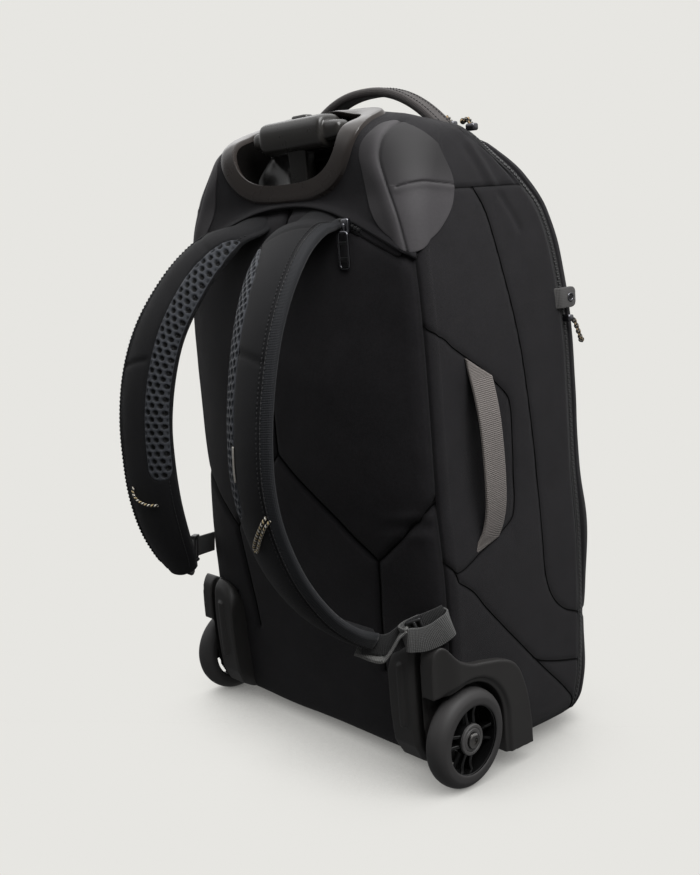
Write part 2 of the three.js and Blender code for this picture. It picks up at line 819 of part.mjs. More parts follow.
const strapStations = (side) =>
  strapRows[side].map((row) => {
    const r = Object.fromEntries(strapColumns.map((c, i) => [c, row[i]]));
    const m = side === "right" ? 1 : -1;
    return {
      p: V(m * r.x, r.y, r.z),
      w: V(m * Math.cos(rad(r.turn)), -Math.sin(rad(r.turn)), 0),
      hw: r.hw,
      ht: STRAP_T,
    };
  });
// Webbing from each strap's end to the back corner of the bag, through a ladder buckle.
const webRows = {
  right: [
    [123, -106, 148],
    [131, -98.5, 153],
    [140, -91.5, 157],
    [151, -80.5, 160],
  ],
  left: [
    [105, -142, 180],
    [118, -125, 179],
    [131, -109, 176],
    [150, -80.5, 169],
  ],
};
for (const side of ["right", "left"]) {
  const m = side === "right" ? 1 : -1;
  const stations = strapStations(side);
  const strapCut = band(stations.map((s) => ({ ...s, hw: s.hw + GAP, ht: s.ht + GAP })));
  piece("shoulder_strap_" + side, cut(band(stations), filled(3)), MESH_GREY, 0.9);
  if (side === "right") piece("harness_zip", cut(harnessZip, strapCut), GLOSS_BLACK, 0.5);
  const pts = webRows[side].map(([x, y, z]) => V(m * x, y, z));
  const up = V(0, 0.1, 1);
  const web = band(
    pts.map((p) => ({ p, w: up, hw: 11, ht: 1 })),
    0.12,
  );
  piece(
    "strap_webbing_" + side,
    cut(web, hullOut, bothHouses, strapCut),
    WEBBING,
    0.85,
  );
  const [a, b] = [pts[1], pts[2]];
  const dir = b.clone().sub(a).normalize();
  const mid = a.clone().lerp(b, 0.5);
  const frame = (len, hw, ht) =>
    band(
      [-len, len].map((d) => ({ p: mid.clone().addScaledVector(dir, d), w: up, hw, ht })),
      0.12,
    );
  piece("ladder_buckle_" + side, cut(frame(5, 15, 4), frame(8, 11.8, 1.9)), GLOSS_BLACK, 0.5);
  // Cord loop on the outer face of the strap.
  const s = stations[8];
  const out = V(m * 0.1, -1, -0.1).normalize();
  const face = s.p.clone().addScaledVector(out, STRAP_T + 3.2);
  piece(
    "strap_cord_" + side,
    cord(
      [
        face.clone().add(V(m * 24, -5.5, 6)),
        face.clone().add(V(m * 12, -7, -8)),
        face.clone().add(V(m * -4, -5.5, -14)),
        face.clone().add(V(m * -14, -3.2, -10)),
      ],
      1.6,
      12,
    ),
    0x8d8778,
    0.8,
  );
}

// ---------------------------------------------------------------- handles
const TOP_HANDLE = { half: 95, y: 37, top: 580.5, foot: 533 };
piece(
  "top_handle",
  cut(
    band(
      Array.from({ length: 17 }, (_, i) => {
        const x = lerp(-TOP_HANDLE.half, TOP_HANDLE.half, i / 16);
        const z = TOP_HANDLE.top - (TOP_HANDLE.top - TOP_HANDLE.foot) * Math.abs(x / TOP_HANDLE.half) ** 2.25;
        return { p: V(x, TOP_HANDLE.y, z), w: V(0, 1, 0), hw: 12, ht: 4.5 };
      }),
    ),
    hullOut,
  ),
  0x303032,
  0.9,
);
const sideRows = [
  [153, -20.5, 356],
  [158, -18.5, 336],
  [163, -17.7, 310],
  [165, -17.4, 282],
  [165, -16.7, 254],
  [163, -15.5, 234],
  [158.5, -14.5, 216],
  [153, -14, 202],
];
piece(
  "side_handle",
  cut(
    band(
      sideRows.map(([x, y, z]) => ({ p: V(x, y, z), w: V(0, 1, 0.25), hw: 13, ht: 1.5 })),
      0.12,
    ),
    hullOut,
  ),
  GREY_WEBBING,
  0.85,
);

// ---------------------------------------------------------------- small fittings
const onBag = (s, t, d) => {
  const e = 0.02;
  const n = bag(s + e, t).sub(bag(s - e, t)).cross(bag(s, t + 2).sub(bag(s, t - 2))).normalize();
  return bag(s, t).addScaledVector(n, d);
};
const pullTop = onBag(0.68, archT(0.68) - 2, 3.6);
piece(
  "harness_zip_pull",
  add(
    box(pullTop.x - 4, pullTop.x + 4, pullTop.y - 6, pullTop.y - 1, pullTop.z - 8, pullTop.z + 5),
    box(pullTop.x - 3.5, pullTop.x + 3.5, pullTop.y - 10, pullTop.y - 5, pullTop.z - 34, pullTop.z - 4),
  ),
  STEEL,
  0.35,
  0.9,
);
function zipPull(s, t, hang) {
  const p = onBag(s, t, 2.2);
  const side = Math.sign(p.x);
  return cut(
    add(
      box(p.x - 5, p.x + 5, p.y - 4, p.y + 4, p.z - 2, p.z + 5),
      cord([p.clone().add(V(0, 0, 3)), p.clone().add(V(side * hang.x * 0.4, hang.y * 0.4, hang.z * 0.3 + 6)), p.clone().add(V(side * hang.x, hang.y, hang.z))], 1.7, 8),
    ),
    hullOut,
    zipCut,
  );
}
piece("main_zip_pull_1", zipPull(3.47, 536, V(4, 6, 14)), 0x2a2a2a, 0.7);
piece("main_zip_pull_2", zipPull(3.82, 541.5, V(-8, 8, 13)), 0x2a2a2a, 0.7);
piece("edge_zip_pull", zipPull(3.17, 372, V(5, 12, -18)), 0x2a2a2a, 0.7);
const EYELET_R = 1.9;
const tabAt = onBag(3.05, 392, 3.2);
const tabDir = V(0.06, 0.998, 0);
piece(
  "lash_tab",
  cut(
    band(
      [1, 19].map((d) => ({ p: tabAt.clone().addScaledVector(tabDir, d), w: V(0, 0, 1), hw: 9, ht: 1.6 })),
      0.2,
    ),
    loft(
      [-4, 4].map((d) =>
        Array.from({ length: 12 }, (_, i) => {
          const a = (2 * Math.PI * i) / 12;
          return tabAt
            .clone()
            .addScaledVector(tabDir, 12 + EYELET_R * Math.cos(a))
            .add(V(0, 0, EYELET_R * Math.sin(a)))
            .addScaledVector(V(0.998, -0.06, 0), d);
        }),
      ),
    ),
    hullOut,
    zipCut,
  ),
  0x3f3f41,
  0.85,
);

export default root;
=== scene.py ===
import math

import bpy
import numpy as np
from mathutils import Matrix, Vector

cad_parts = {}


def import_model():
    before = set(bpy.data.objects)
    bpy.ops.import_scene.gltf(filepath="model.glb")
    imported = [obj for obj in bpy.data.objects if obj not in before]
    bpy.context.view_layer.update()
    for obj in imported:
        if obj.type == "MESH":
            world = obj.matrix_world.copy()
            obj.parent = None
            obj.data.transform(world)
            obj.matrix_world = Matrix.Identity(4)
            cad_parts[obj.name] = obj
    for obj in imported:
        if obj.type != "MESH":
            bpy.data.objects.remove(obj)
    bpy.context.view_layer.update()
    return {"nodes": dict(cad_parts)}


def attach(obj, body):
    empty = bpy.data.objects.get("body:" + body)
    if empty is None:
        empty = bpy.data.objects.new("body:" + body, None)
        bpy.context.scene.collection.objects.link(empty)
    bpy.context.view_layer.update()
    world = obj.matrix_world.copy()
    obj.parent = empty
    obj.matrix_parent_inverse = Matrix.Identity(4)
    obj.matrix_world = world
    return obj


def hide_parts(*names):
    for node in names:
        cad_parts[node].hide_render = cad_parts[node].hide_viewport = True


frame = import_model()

# ------------------------------------------------------------------ frame of the leaning bag, millimetres to metres
LEAN = math.radians(6.3)
Y_SHIFT = 49.6
CL, SL, TL = math.cos(LEAN), math.sin(LEAN), math.tan(LEAN)


def world(p):
    p = np.asarray(p, float)
    return np.stack(
        [p[..., 0], p[..., 1] * CL - p[..., 2] * SL + Y_SHIFT, p[..., 1] * SL + p[..., 2] * CL], -1
    ) * 0.001


def unit(v):
    v = np.asarray(v, float)
    return v / np.maximum(np.linalg.norm(v, axis=-1, keepdims=True), 1e-12)


def sstep(a, b, x):
    u = np.clip((np.asarray(x, float) - a) / (b - a), 0, 1)
    return u * u * (3 - 2 * u)


def lerp(a, b, u):
    return a + (b - a) * u


# ------------------------------------------------------------------ the bag's outside, as a function of girth s and height t
def table(rows):
    arr = np.array(rows, float)
    x, y = arr[:, 0], arr[:, 1:]
    d = np.diff(y, axis=0) / np.diff(x)[:, None]
    m = np.zeros_like(y)
    m[0], m[-1] = d[0], d[-1]
    a, b = d[:-1], d[1:]
    m[1:-1] = np.where(a * b <= 0, 0, 2 * a * b / np.where(a + b == 0, 1, a + b))

    def at(t):
        t = np.clip(np.asarray(t, float), x[0], x[-1])
        i = np.clip(np.searchsorted(x, t, side="left") - 1, 0, len(x) - 2)
        h = (x[i + 1] - x[i])[..., None]
        u = ((t - x[i])[..., None]) / h
        return (
            y[i] * (2 * u**3 - 3 * u**2 + 1)
            + m[i] * h * (u**3 - 2 * u**2 + u)
            + y[i + 1] * (-2 * u**3 + 3 * u**2)
            + m[i + 1] * h * (u**3 - u**2)
        )

    return at


PLAN = table([
    (12, 139, -66, 116, 14, 34), (17, 147, -71, 130, 14, 40), (30, 152, -74, 140, 15, 45), (60, 155, -75, 143, 16, 45),
    (173, 157, -75, 145, 16, 45), (253, 153, -75, 145, 16, 45), (350, 152, -75, 143.6, 16, 45), (397, 150.5, -75, 139.6, 16, 45),
    (432, 148, -75, 134.5, 16, 45), (467, 144, -75, 127, 22, 48), (498, 139, -74, 104, 34, 52), (520, 132, -71.5, 79, 46, 56),
    (533, 126, -69, 65, 52, 58), (547, 110, -62, 53, 56, 56), (555, 86, -50, 42, 45, 45), (559, 58, -34, 28, 30, 30),
    (560, 30, -18, 14, 15, 15),
])
DOME = table([(12, 0), (60, .12), (120, .35), (198, .65), (281, 1), (340, 1), (400, .7), (440, .35), (470, 0), (492, -.22), (520, -.1), (540, 0)])
BULGE = table([(12, .1), (80, .7), (200, 1), (350, .9), (450, .5), (530, .1), (560, 0)])


def bag(s, t):
    s, t = np.broadcast_arrays(np.asarray(s, float), np.asarray(t, float))
    a, yb, yf, rb, rf = np.moveaxis(PLAN(t), -1, 0)
    q = np.abs(s)
    th1, th2 = (q - 1) * np.pi / 2, (q - 3) * np.pi / 2
    x = np.select(
        [q <= 1, q <= 2, q <= 3, q <= 4],
        [(a - rb) * q, a - rb + rb * np.sin(th1), a, a - rf + rf * np.cos(th2)],
        (a - rf) * (5 - q),
    )
    y = np.select(
        [q <= 1, q <= 2, q <= 3, q <= 4],
        [yb, yb + rb - rb * np.cos(th1), lerp(yb + rb, yf - rf, q - 2), yf - rf + rf * np.sin(th2)],
        yf,
    )
    y = np.where(q < 2, y - 31.5 * DOME(t)[..., 0] * np.maximum(0, 1 - (x / (a - 4)) ** 2), y)
    y = np.where(q > 3, y + 14 * BULGE(t)[..., 0] * np.maximum(0, 1 - (x / a) ** 2), y)
    sink = np.clip(1 - (t - 12) / 190, 0, 1)
    return np.stack([np.where(s < 0, -x, x), y, t - TL * y * sink], -1)


def bag_normal(s, t):
    e = 0.02
    du = bag(np.clip(s + e, -5, 5), t) - bag(np.clip(s - e, -5, 5), t)
    dv = bag(s, np.minimum(t + 1.5, 560)) - bag(s, np.maximum(t - 1.5, 12))
    return unit(np.cross(du, dv))


def on_bag(s, t, d=0.0):
    s, t = np.broadcast_arrays(np.asarray(s, float), np.asarray(t, float))
    return bag(s, t) + bag_normal(s, t) * np.asarray(d)[..., None] if np.ndim(d) else bag(s, t) + bag_normal(s, t) * d


def arch_t(s):
    x = np.abs(bag(np.minimum(np.abs(s), 1.5), 455.0)[..., 0])
    return 486 - 52 * (x / 148) ** 2.2


def yoke_low(s):
    q = np.abs(np.asarray(s, float))
    a15 = arch_t(np.array(1.5))
    u = np.clip((q - 1.5) / 0.7, 0, 1)
    r = np.maximum(1.045**6 - (np.maximum(5 - q, 0) / 1.83) ** 6, (50 / 103) ** 6)
    return np.select([q <= 1.5, q <= 2.2], [arch_t(q), lerp(a15, 490, u * u * (3 - 2 * u))], 440 + 103 * r ** (1 / 6))


def zip_s(rho, t):
    return 5 - 1.83 * np.maximum(0, rho**6 - (np.maximum(0, np.asarray(t, float) - 440) / 103) ** 6) ** (1 / 6)


# ------------------------------------------------------------------ small geometry kit
def even(points, n, closed=False):
    """A smooth line through points, resampled to n equal steps."""
    p = np.asarray(points, float)
    if closed:
        p = np.vstack([p[-2:], p, p[:3]])
    else:
        p = np.vstack([2 * p[0] - p[1], p, 2 * p[-1] - p[-2]])
    k = np.maximum(np.linalg.norm(np.diff(p, axis=0), axis=1), 1e-9) ** 0.5
    out = []
    lo, hi = (2, len(p) - 3) if closed else (1, len(p) - 2)
    for i in range(lo, hi):
        p0, p1, p2, p3 = p[i - 1], p[i], p[i + 1], p[i + 2]
        t0, t1 = 0, k[i - 1]
        t2 = t1 + k[i]
        t3 = t2 + k[i + 1]
        t = np.linspace(t1, t2, 24, endpoint=False)[:, None]
        a1 = (t1 - t) / (t1 - t0) * p0 + (t - t0) / (t1 - t0) * p1
        a2 = (t2 - t) / (t2 - t1) * p1 + (t - t1) / (t2 - t1) * p2
        a3 = (t3 - t) / (t3 - t2) * p2 + (t - t2) / (t3 - t2) * p3
        b1 = (t2 - t) / (t2 - t0) * a1 + (t - t0) / (t2 - t0) * a2
        b2 = (t3 - t) / (t3 - t1) * a2 + (t - t1) / (t3 - t1) * a3
        out.append((t2 - t) / (t2 - t1) * b1 + (t - t1) / (t2 - t1) * b2)
    out = np.vstack(out + [p[hi][None]])
    d = np.concatenate([[0], np.cumsum(np.linalg.norm(np.diff(out, axis=0), axis=1))])
    at = np.linspace(0, d[-1], n, endpoint=not closed)
    return np.stack([np.interp(at, d, out[:, c]) for c in range(out.shape[1])], 1)


def line_distance(p, line):
    """Distance of points p (..., k) to a polyline (m, k)."""
    shape = p.shape[:-1]
    q = p.reshape(-1, p.shape[-1])
    best = np.full(len(q), 1e9)
    for a, b in zip(line[:-1], line[1:]):
        ab = b - a
        u = np.clip(((q - a) @ ab) / max(ab @ ab, 1e-9), 0, 1)
        best = np.minimum(best, np.linalg.norm(q - a - u[:, None] * ab, axis=1))
    return best.reshape(shape)


def waves(seed, uv, wavelength, amp, n=10, aniso=(1, 1)):
    """Smooth folds: a seeded sum of sines over flat coordinates in millimetres."""
    rng = np.random.default_rng(seed)
    out = np.zeros(uv.shape[:-1])
    for _ in range(n):
        a = rng.uniform(0, 2 * np.pi)
        w = wavelength * rng.uniform(0.6, 1.7)
        k = np.array([math.cos(a) * aniso[0], math.sin(a) * aniso[1]]) * 2 * np.pi / w
        out += np.sin(uv @ k + rng.uniform(0, 2 * np.pi))
    return out * amp / math.sqrt(n)


class Soup:
    """Points and faces of one piece, in millimetres of the leaning frame."""

    def __init__(self):
        self.v, self.f, self.uv, self.mark, self.mat, self.n = [], [], [], [], [], 0

    def add(self, p, faces, uv=None, mark=None, mat=0):
        p = np.asarray(p, float).reshape(-1, 3)
        uv = p[:, :2] if uv is None else np.asarray(uv, float).reshape(-1, 2)
        mark = np.zeros(len(p)) if mark is None else np.broadcast_to(np.asarray(mark, float).ravel(), (len(p),))
        for f in faces if isinstance(faces, list) else [faces]:
            f = np.asarray(f, int)
            if len(f):
                self.f.append(f + self.n)
                self.mat.append(np.full(len(f), mat))
        self.v.append(p)
        self.uv.append(uv)
        self.mark.append(mark)
        self.n += len(p)
        return self

    def join(self, other, shift=(0, 0, 0)):
        for f, m in zip(other.f, other.mat):
            self.f.append(f + self.n)
            self.mat.append(m)
        self.v += [v + np.asarray(shift, float) for v in other.v]
        self.uv += other.uv
        self.mark += other.mark
        self.n += other.n
        return self

    def mirrored(self):
        out = Soup()
        out.v = [v * np.array([-1, 1, 1]) for v in self.v]
        out.f = [f[:, ::-1] for f in self.f]
        out.uv, out.mark, out.mat, out.n = list(self.uv), list(self.mark), list(self.mat), self.n
        return out

    def build(self, name, body, mats, replaces=(), slot=None, sharp=None, place=world):
        p = np.vstack(self.v)
        uv = np.vstack(self.uv)
        mark = np.concatenate(self.mark)
        me = bpy.data.meshes.new(name)
        me.vertices.add(len(p))
        me.vertices.foreach_set("co", place(p).astype(np.float32).ravel())
        loops = np.concatenate([f.ravel() for f in self.f])
        totals = np.concatenate([np.full(len(f), f.shape[1]) for f in self.f])
        starts = np.concatenate([[0], np.cumsum(totals)[:-1]])
        me.loops.add(len(loops))
        me.loops.foreach_set("vertex_index", loops.astype(np.int32))
        me.polygons.add(len(totals))
        me.polygons.foreach_set("loop_start", starts.astype(np.int32))
        me.polygons.foreach_set("loop_total", totals.astype(np.int32))
        me.polygons.foreach_set("material_index", np.concatenate(self.mat).astype(np.int32))
        layer = me.uv_layers.new(name="UVMap")
        layer.data.foreach_set("uv", (uv[loops] * 0.001).astype(np.float32).ravel())
        # per-point painted shade, which the materials darken the colour by
        at = me.attributes.new("mark", "FLOAT", "POINT")
        at.data.foreach_set("value", mark.astype(np.float32))
        me.update(calc_edges=True)
        me.validate()
        me.shade_smooth()
        if sharp:
            me.set_sharp_from_angle(angle=math.radians(sharp))
        ob = bpy.data.objects.new(name, me)
        bpy.context.scene.collection.objects.link(ob)
        for m in mats if isinstance(mats, (list, tuple)) else [mats]:
            me.materials.append(m)
        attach(ob, body)
        if replaces:
            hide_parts(*([replaces] if isinstance(replaces, str) else replaces))
        return ob


def grid_faces(nv, nu, close_u=False, close_v=False, flip=False):
    j, i = np.meshgrid(np.arange(nv if close_v else nv - 1), np.arange(nu if close_u else nu - 1), indexing="ij")
    i1, j1 = (i + 1) % nu, (j + 1) % nv
    f = np.stack([j * nu + i, j * nu + i1, j1 * nu + i1, j1 * nu + i], -1).reshape(-1, 4)
    return f[:, ::-1] if flip else f


def grid_uv(p):
    du = np.linalg.norm(np.diff(p, axis=1), axis=-1)
    dv = np.linalg.norm(np.diff(p, axis=0), axis=-1)
    u = np.concatenate([np.zeros((p.shape[0], 1)), np.cumsum(du, 1)], 1)
    u = u - u[:, u.shape[1] // 2][:, None]
    v = np.concatenate([np.zeros((1, p.shape[1])), np.cumsum(dv, 0)], 0)
    return np.stack([u, v], -1)


def grid_normals(p, close_u=False):
    if close_u:
        du = np.roll(p, -1, 1) - np.roll(p, 1, 1)
    else:
        du = np.gradient(p, axis=1)
    dv = np.gradient(p, axis=0)
    return unit(np.cross(du, dv))


def fan(ring_ids, centre_id, flip=False):
    r = np.asarray(ring_ids)
    f = np.stack([r, np.roll(r, -1), np.full(len(r), centre_id)], 1)
    return f[:, ::-1] if flip else f


def sweep_frames(c, w):
    """Tangent, width and thickness directions along a line."""
    tan = unit(np.gradient(c, axis=0))
    wide = unit(w - np.sum(w * tan, -1, keepdims=True) * tan)
    return tan, wide, np.cross(tan, wide)


def sweep(soup, c, w, section, mat=0, mark=None, cap=True, close=False):
    """A closed tube of section (m, 2) or (n, m, 2) along c; w is the width direction."""
    c = np.asarray(c, float)
    n = len(c)
    w = np.broadcast_to(np.asarray(w, float), c.shape)
    if close:
        tan = unit(np.roll(c, -1, 0) - np.roll(c, 1, 0))
        wide = unit(w - np.sum(w * tan, -1, keepdims=True) * tan)
        thick = np.cross(tan, wide)
    else:
        tan, wide, thick = sweep_frames(c, w)
    sec = np.broadcast_to(np.asarray(section, float), (n,) + np.asarray(section).shape[-2:])
    m = sec.shape[1]
    p = c[:, None] + wide[:, None] * sec[..., 0:1] + thick[:, None] * sec[..., 1:2]
    ring = np.concatenate([[0], np.cumsum(np.linalg.norm(np.diff(sec[0], axis=0), axis=1))])
    along = np.concatenate([[0], np.cumsum(np.linalg.norm(np.diff(c, axis=0), axis=1))])
    uv = np.stack(np.meshgrid(ring, along), -1)
    faces = [grid_faces(n, m, close_u=True, close_v=close)]
    pts = p.reshape(-1, 3)
    uvs = uv.reshape(-1, 2)
    if cap and not close:
        pts = np.vstack([pts, p[0].mean(0), p[-1].mean(0)])
        uvs = np.vstack([uvs, uv[0].mean(0), uv[-1].mean(0)])
        faces.append(fan(np.arange(m), n * m, flip=True))
        faces.append(fan(np.arange(m) + (n - 1) * m, n * m + 1))
    mk = None
    if mark is not None:
        mk = np.concatenate([np.broadcast_to(mark, (n, m)).ravel(), np.zeros(len(pts) - n * m)])
    soup.add(pts, faces, uvs, mk, mat)
    return p


def rounded(hw, ht, r, k=4):
    """Rounded rectangle section, anticlockwise."""
    r = min(r, hw * 0.999, ht * 0.999)
    out = []
    for cx, cy, a0 in ((hw - r, -ht + r, -90), (hw - r, ht - r, 0), (-hw + r, ht - r, 90), (-hw + r, -ht + r, 180)):
        for i in range(k + 1):
            a = math.radians(a0 + 90 * i / k)
            out.append((cx + r * math.cos(a), cy + r * math.sin(a)))
    return np.array(out)


def circle(r, n=10):
    a = np.arange(n) * 2 * np.pi / n
    return np.stack([r * np.cos(a), r * np.sin(a)], 1)


def lathe_x(soup, profile, n, centre, mat=0, closed=True, mark=None):
    """Profile of (x, r) turned about an X axis through centre."""
    prof = np.asarray(profile, float)
    a = np.arange(n) * 2 * np.pi / n
    p = np.stack(
        [
            np.broadcast_to(prof[:, None, 0], (len(prof), n)),
            prof[:, None, 1] * np.sin(a),
            -prof[:, None, 1] * np.cos(a),
        ],
        -1,
    ) + np.asarray(centre, float)
    d = np.concatenate([[0], np.cumsum(np.linalg.norm(np.diff(prof, axis=0), axis=1))])
    uv = np.stack(np.meshgrid(a * 40, d), -1)
    mk = None if mark is None else np.broadcast_to(np.asarray(mark)[:, None], (len(prof), n))
    soup.add(p, grid_faces(len(prof), n, close_u=True, close_v=closed), uv, mk, mat)


def box_round(soup, centre, axes, half, r, mat=0):
    """A block with rounded edges: axes are three unit vectors."""
    ax = [np.asarray(a, float) for a in axes]
    hx, hy, hz = half
    rows = []
    for z, k in ((-hz, 1), (-hz + 0.3 * r, 0.3), (-hz + r, 0), (hz - r, 0), (hz - 0.3 * r, 0.3), (hz, 1)):
        rows.append((z, rounded(hx - k * r, hy - k * r, max(r * (1 - 0.6 * k), 0.05), 3)))
    n = len(rows[0][1])
    p = np.array([[np.asarray(centre) + ax[0] * u + ax[1] * v + ax[2] * z for u, v in sec] for z, sec in rows])
    pts = np.vstack([p.reshape(-1, 3), p[0].mean(0), p[-1].mean(0)])
    faces = [grid_faces(len(rows), n, close_u=True), fan(np.arange(n), len(rows) * n, flip=True), fan(np.arange(n) + (len(rows) - 1) * n, len(rows) * n + 1)]
    soup.add(pts, faces, None, None, mat)


def stitches(soup, line, normal, pitch=3.6, length=2.5, r=0.38, mat=0):
    """A row of sewing stitches along a line, lying on a surface with the given normals."""
    line = np.asarray(line, float)
    d = np.concatenate([[0], np.cumsum(np.linalg.norm(np.diff(line, axis=0), axis=1))])
    normal = np.broadcast_to(np.asarray(normal, float), line.shape)
    n = int(d[-1] / pitch)
    sec = circle(r, 6)
    for i in range(n):
        at = (i + 0.5) * pitch + np.linspace(-length / 2, length / 2, 5)
        c = np.stack([np.interp(at, d, line[:, k]) for k in range(3)], 1)
        nn = unit(np.stack([np.interp(at, d, normal[:, k]) for k in range(3)], 1))
        lift = np.array([-0.25, 0.2, 0.35, 0.2, -0.25])[:, None]
        sweep(soup, c + nn * lift, nn, sec[None] * np.array([0.5, 1, 1.1, 1, 0.5])[:, None, None], mat)


# ------------------------------------------------------------------ materials
class Nodes:
    def __init__(self, name):
        self.mat = bpy.data.materials.new(name)
        self.mat.use_nodes = True
        self.t = self.mat.node_tree
        self.bsdf = next(n for n in self.t.nodes if n.type == "BSDF_PRINCIPLED")

    def node(self, kind, **kw):
        n = self.t.nodes.new(kind)
        for k, v in kw.items():
            if k.startswith("i_"):
                n.inputs[k[2:].replace("_", " ")].default_value = v
            else:
                setattr(n, k, v)
        return n

    def link(self, a, b):
        self.t.links.new(a, b)

    def math(self, op, a, b=None, c=None):
        n = self.node("ShaderNodeMath", operation=op)
        for i, x in enumerate((a, b, c)):
            if x is None:
                continue
            if isinstance(x, (int, float)):
                n.inputs[i].default_value = x
            else:
                self.link(x, n.inputs[i])
        return n.outputs[0]

    def mix(self, fac, a, b):
        n = self.node("ShaderNodeMix", data_type="RGBA")
        for sock, x in ((n.inputs["Factor"], fac), (n.inputs[6], a), (n.inputs[7], b)):
            if isinstance(x, (int, float)):
                sock.default_value = x
            elif isinstance(x, (tuple, list)):
                sock.default_value = tuple(x) + (1,) if len(x) == 3 else tuple(x)
            else:
                self.link(x, sock)
        return n.outputs[2]

    def noise(self, vec, scale, detail=2.0, rough=0.5):
        n = self.node("ShaderNodeTexNoise", i_Scale=scale, i_Detail=detail, i_Roughness=rough)
        self.link(vec, n.inputs["Vector"])
        return n.outputs["Fac"]

    def bump(self, height, distance, strength=1.0, normal=None):
        n = self.node("ShaderNodeBump", i_Distance=distance, i_Strength=strength)
        self.link(height, n.inputs["Height"])
        if normal is not None:
            self.link(normal, n.inputs["Normal"])
        return n.outputs["Normal"]

    def set(self, **kw):
        names = {
            "rough": "Roughness", "spec": "Specular IOR Level", "sheen": "Sheen Weight", "sheen_rough": "Sheen Roughness",
            "metal": "Metallic", "coat": "Coat Weight", "coat_rough": "Coat Roughness",
        }
        for k, v in kw.items():
            self.bsdf.inputs[names[k]].default_value = v
        return self


def lin(r, g, b):
    def f(c):
        c /= 255
        return c / 12.92 if c <= 0.04045 else ((c + 0.055) / 1.055) ** 2.4
    return (f(r), f(g), f(b))


def cloth_material(name, low, high, pitch=0.9, depth=0.16, rough=0.82, spec=0.12, sheen=0.05, painted_shade_to=0.25, twill=False):
    """Woven cloth: crossing threads in the mesh's own flat coordinates, mottled dye, and painted shade where the mesh
    marks creases, seams and holes.
    """
    n = Nodes(name)
    tc = n.node("ShaderNodeTexCoord")
    sep = n.node("ShaderNodeSeparateXYZ")
    n.link(tc.outputs["UV"], sep.inputs[0])
    k = 2 * math.pi / (pitch * 0.001)
    u, v = sep.outputs[0], sep.outputs[1]
    if twill:
        su = n.math("SINE", n.math("MULTIPLY", n.math("ADD", u, v), k * 0.5))
    else:
        su = n.math("SINE", n.math("MULTIPLY", u, k))
    sv = n.math("SINE", n.math("MULTIPLY", v, k))
    weave = n.math("MULTIPLY", su, sv)
    grain = n.noise(tc.outputs["Object"], 900.0, 3.0, 0.6)
    patchy = n.noise(tc.outputs["Object"], 38.0, 4.0, 0.6)
    slub = n.noise(tc.outputs["Object"], 420.0, 2.0, 0.6)
    h = n.math("ADD", n.math("MULTIPLY", weave, 0.5), n.math("MULTIPLY", grain, 1.1))
    tone = n.math("ADD", n.math("MULTIPLY", patchy, 0.65), n.math("ADD", n.math("MULTIPLY", grain, 0.5), n.math("MULTIPLY", weave, 0.10)))
    tone = n.math("ADD", n.math("SUBTRACT", tone, 0.42), n.math("MULTIPLY", slub, 0.6))
    col = n.mix(tone, low, high)
    # painted shade: darker where the mesh carries its shade attribute
    at = n.node("ShaderNodeAttribute", attribute_name="mark")
    col = n.mix(n.math("MINIMUM", at.outputs["Fac"], 1.0), col, tuple(c * painted_shade_to for c in low))
    n.link(col, n.bsdf.inputs["Base Color"])
    n.link(n.bump(h, depth * 0.001, 0.8), n.bsdf.inputs["Normal"])
    n.set(rough=rough, spec=spec, sheen=sheen, sheen_rough=0.45)
    return n.mat


def rib_material(name, low, high, pitch=2.2, depth=0.5, rough=0.7, spec=0.2, sheen=0.1, cross=0.0):
    """Webbing: ribs across the band with fine lengthwise threads."""
    n = Nodes(name)
    tc = n.node("ShaderNodeTexCoord")
    sep = n.node("ShaderNodeSeparateXYZ")
    n.link(tc.outputs["UV"], sep.inputs[0])
    u, v = sep.outputs[0], sep.outputs[1]
    k = 2 * math.pi / (pitch * 0.001)
    shift = n.math("MULTIPLY", n.math("SINE", n.math("MULTIPLY", u, 2 * math.pi / 0.0028)), cross)
    rib = n.math("SINE", n.math("ADD", n.math("MULTIPLY", v, k), shift))
    thread = n.math("SINE", n.math("MULTIPLY", u, 2 * math.pi / 0.0014))
    grain = n.noise(tc.outputs["Object"], 1100.0, 2.0, 0.6)
    h = n.math("ADD", n.math("MULTIPLY", rib, 0.5), n.math("ADD", n.math("MULTIPLY", thread, 0.18), n.math("MULTIPLY", grain, 0.4)))
    tone = n.math("ADD", n.math("MULTIPLY", rib, 0.3), n.math("ADD", n.math("MULTIPLY", thread, 0.12), n.math("ADD", n.math("MULTIPLY", grain, 0.5), 0.25)))
    col = n.mix(tone, low, high)
    # painted shade: darker where the mesh carries its shade attribute
    at = n.node("ShaderNodeAttribute", attribute_name="mark")
    col = n.mix(n.math("MINIMUM", at.outputs["Fac"], 1.0), col, tuple(c * 0.3 for c in low))
    n.link(col, n.bsdf.inputs["Base Color"])
    n.link(n.bump(h, depth * 0.001, 0.9), n.bsdf.inputs["Normal"])
    n.set(rough=rough, spec=spec, sheen=sheen)
    return n.mat


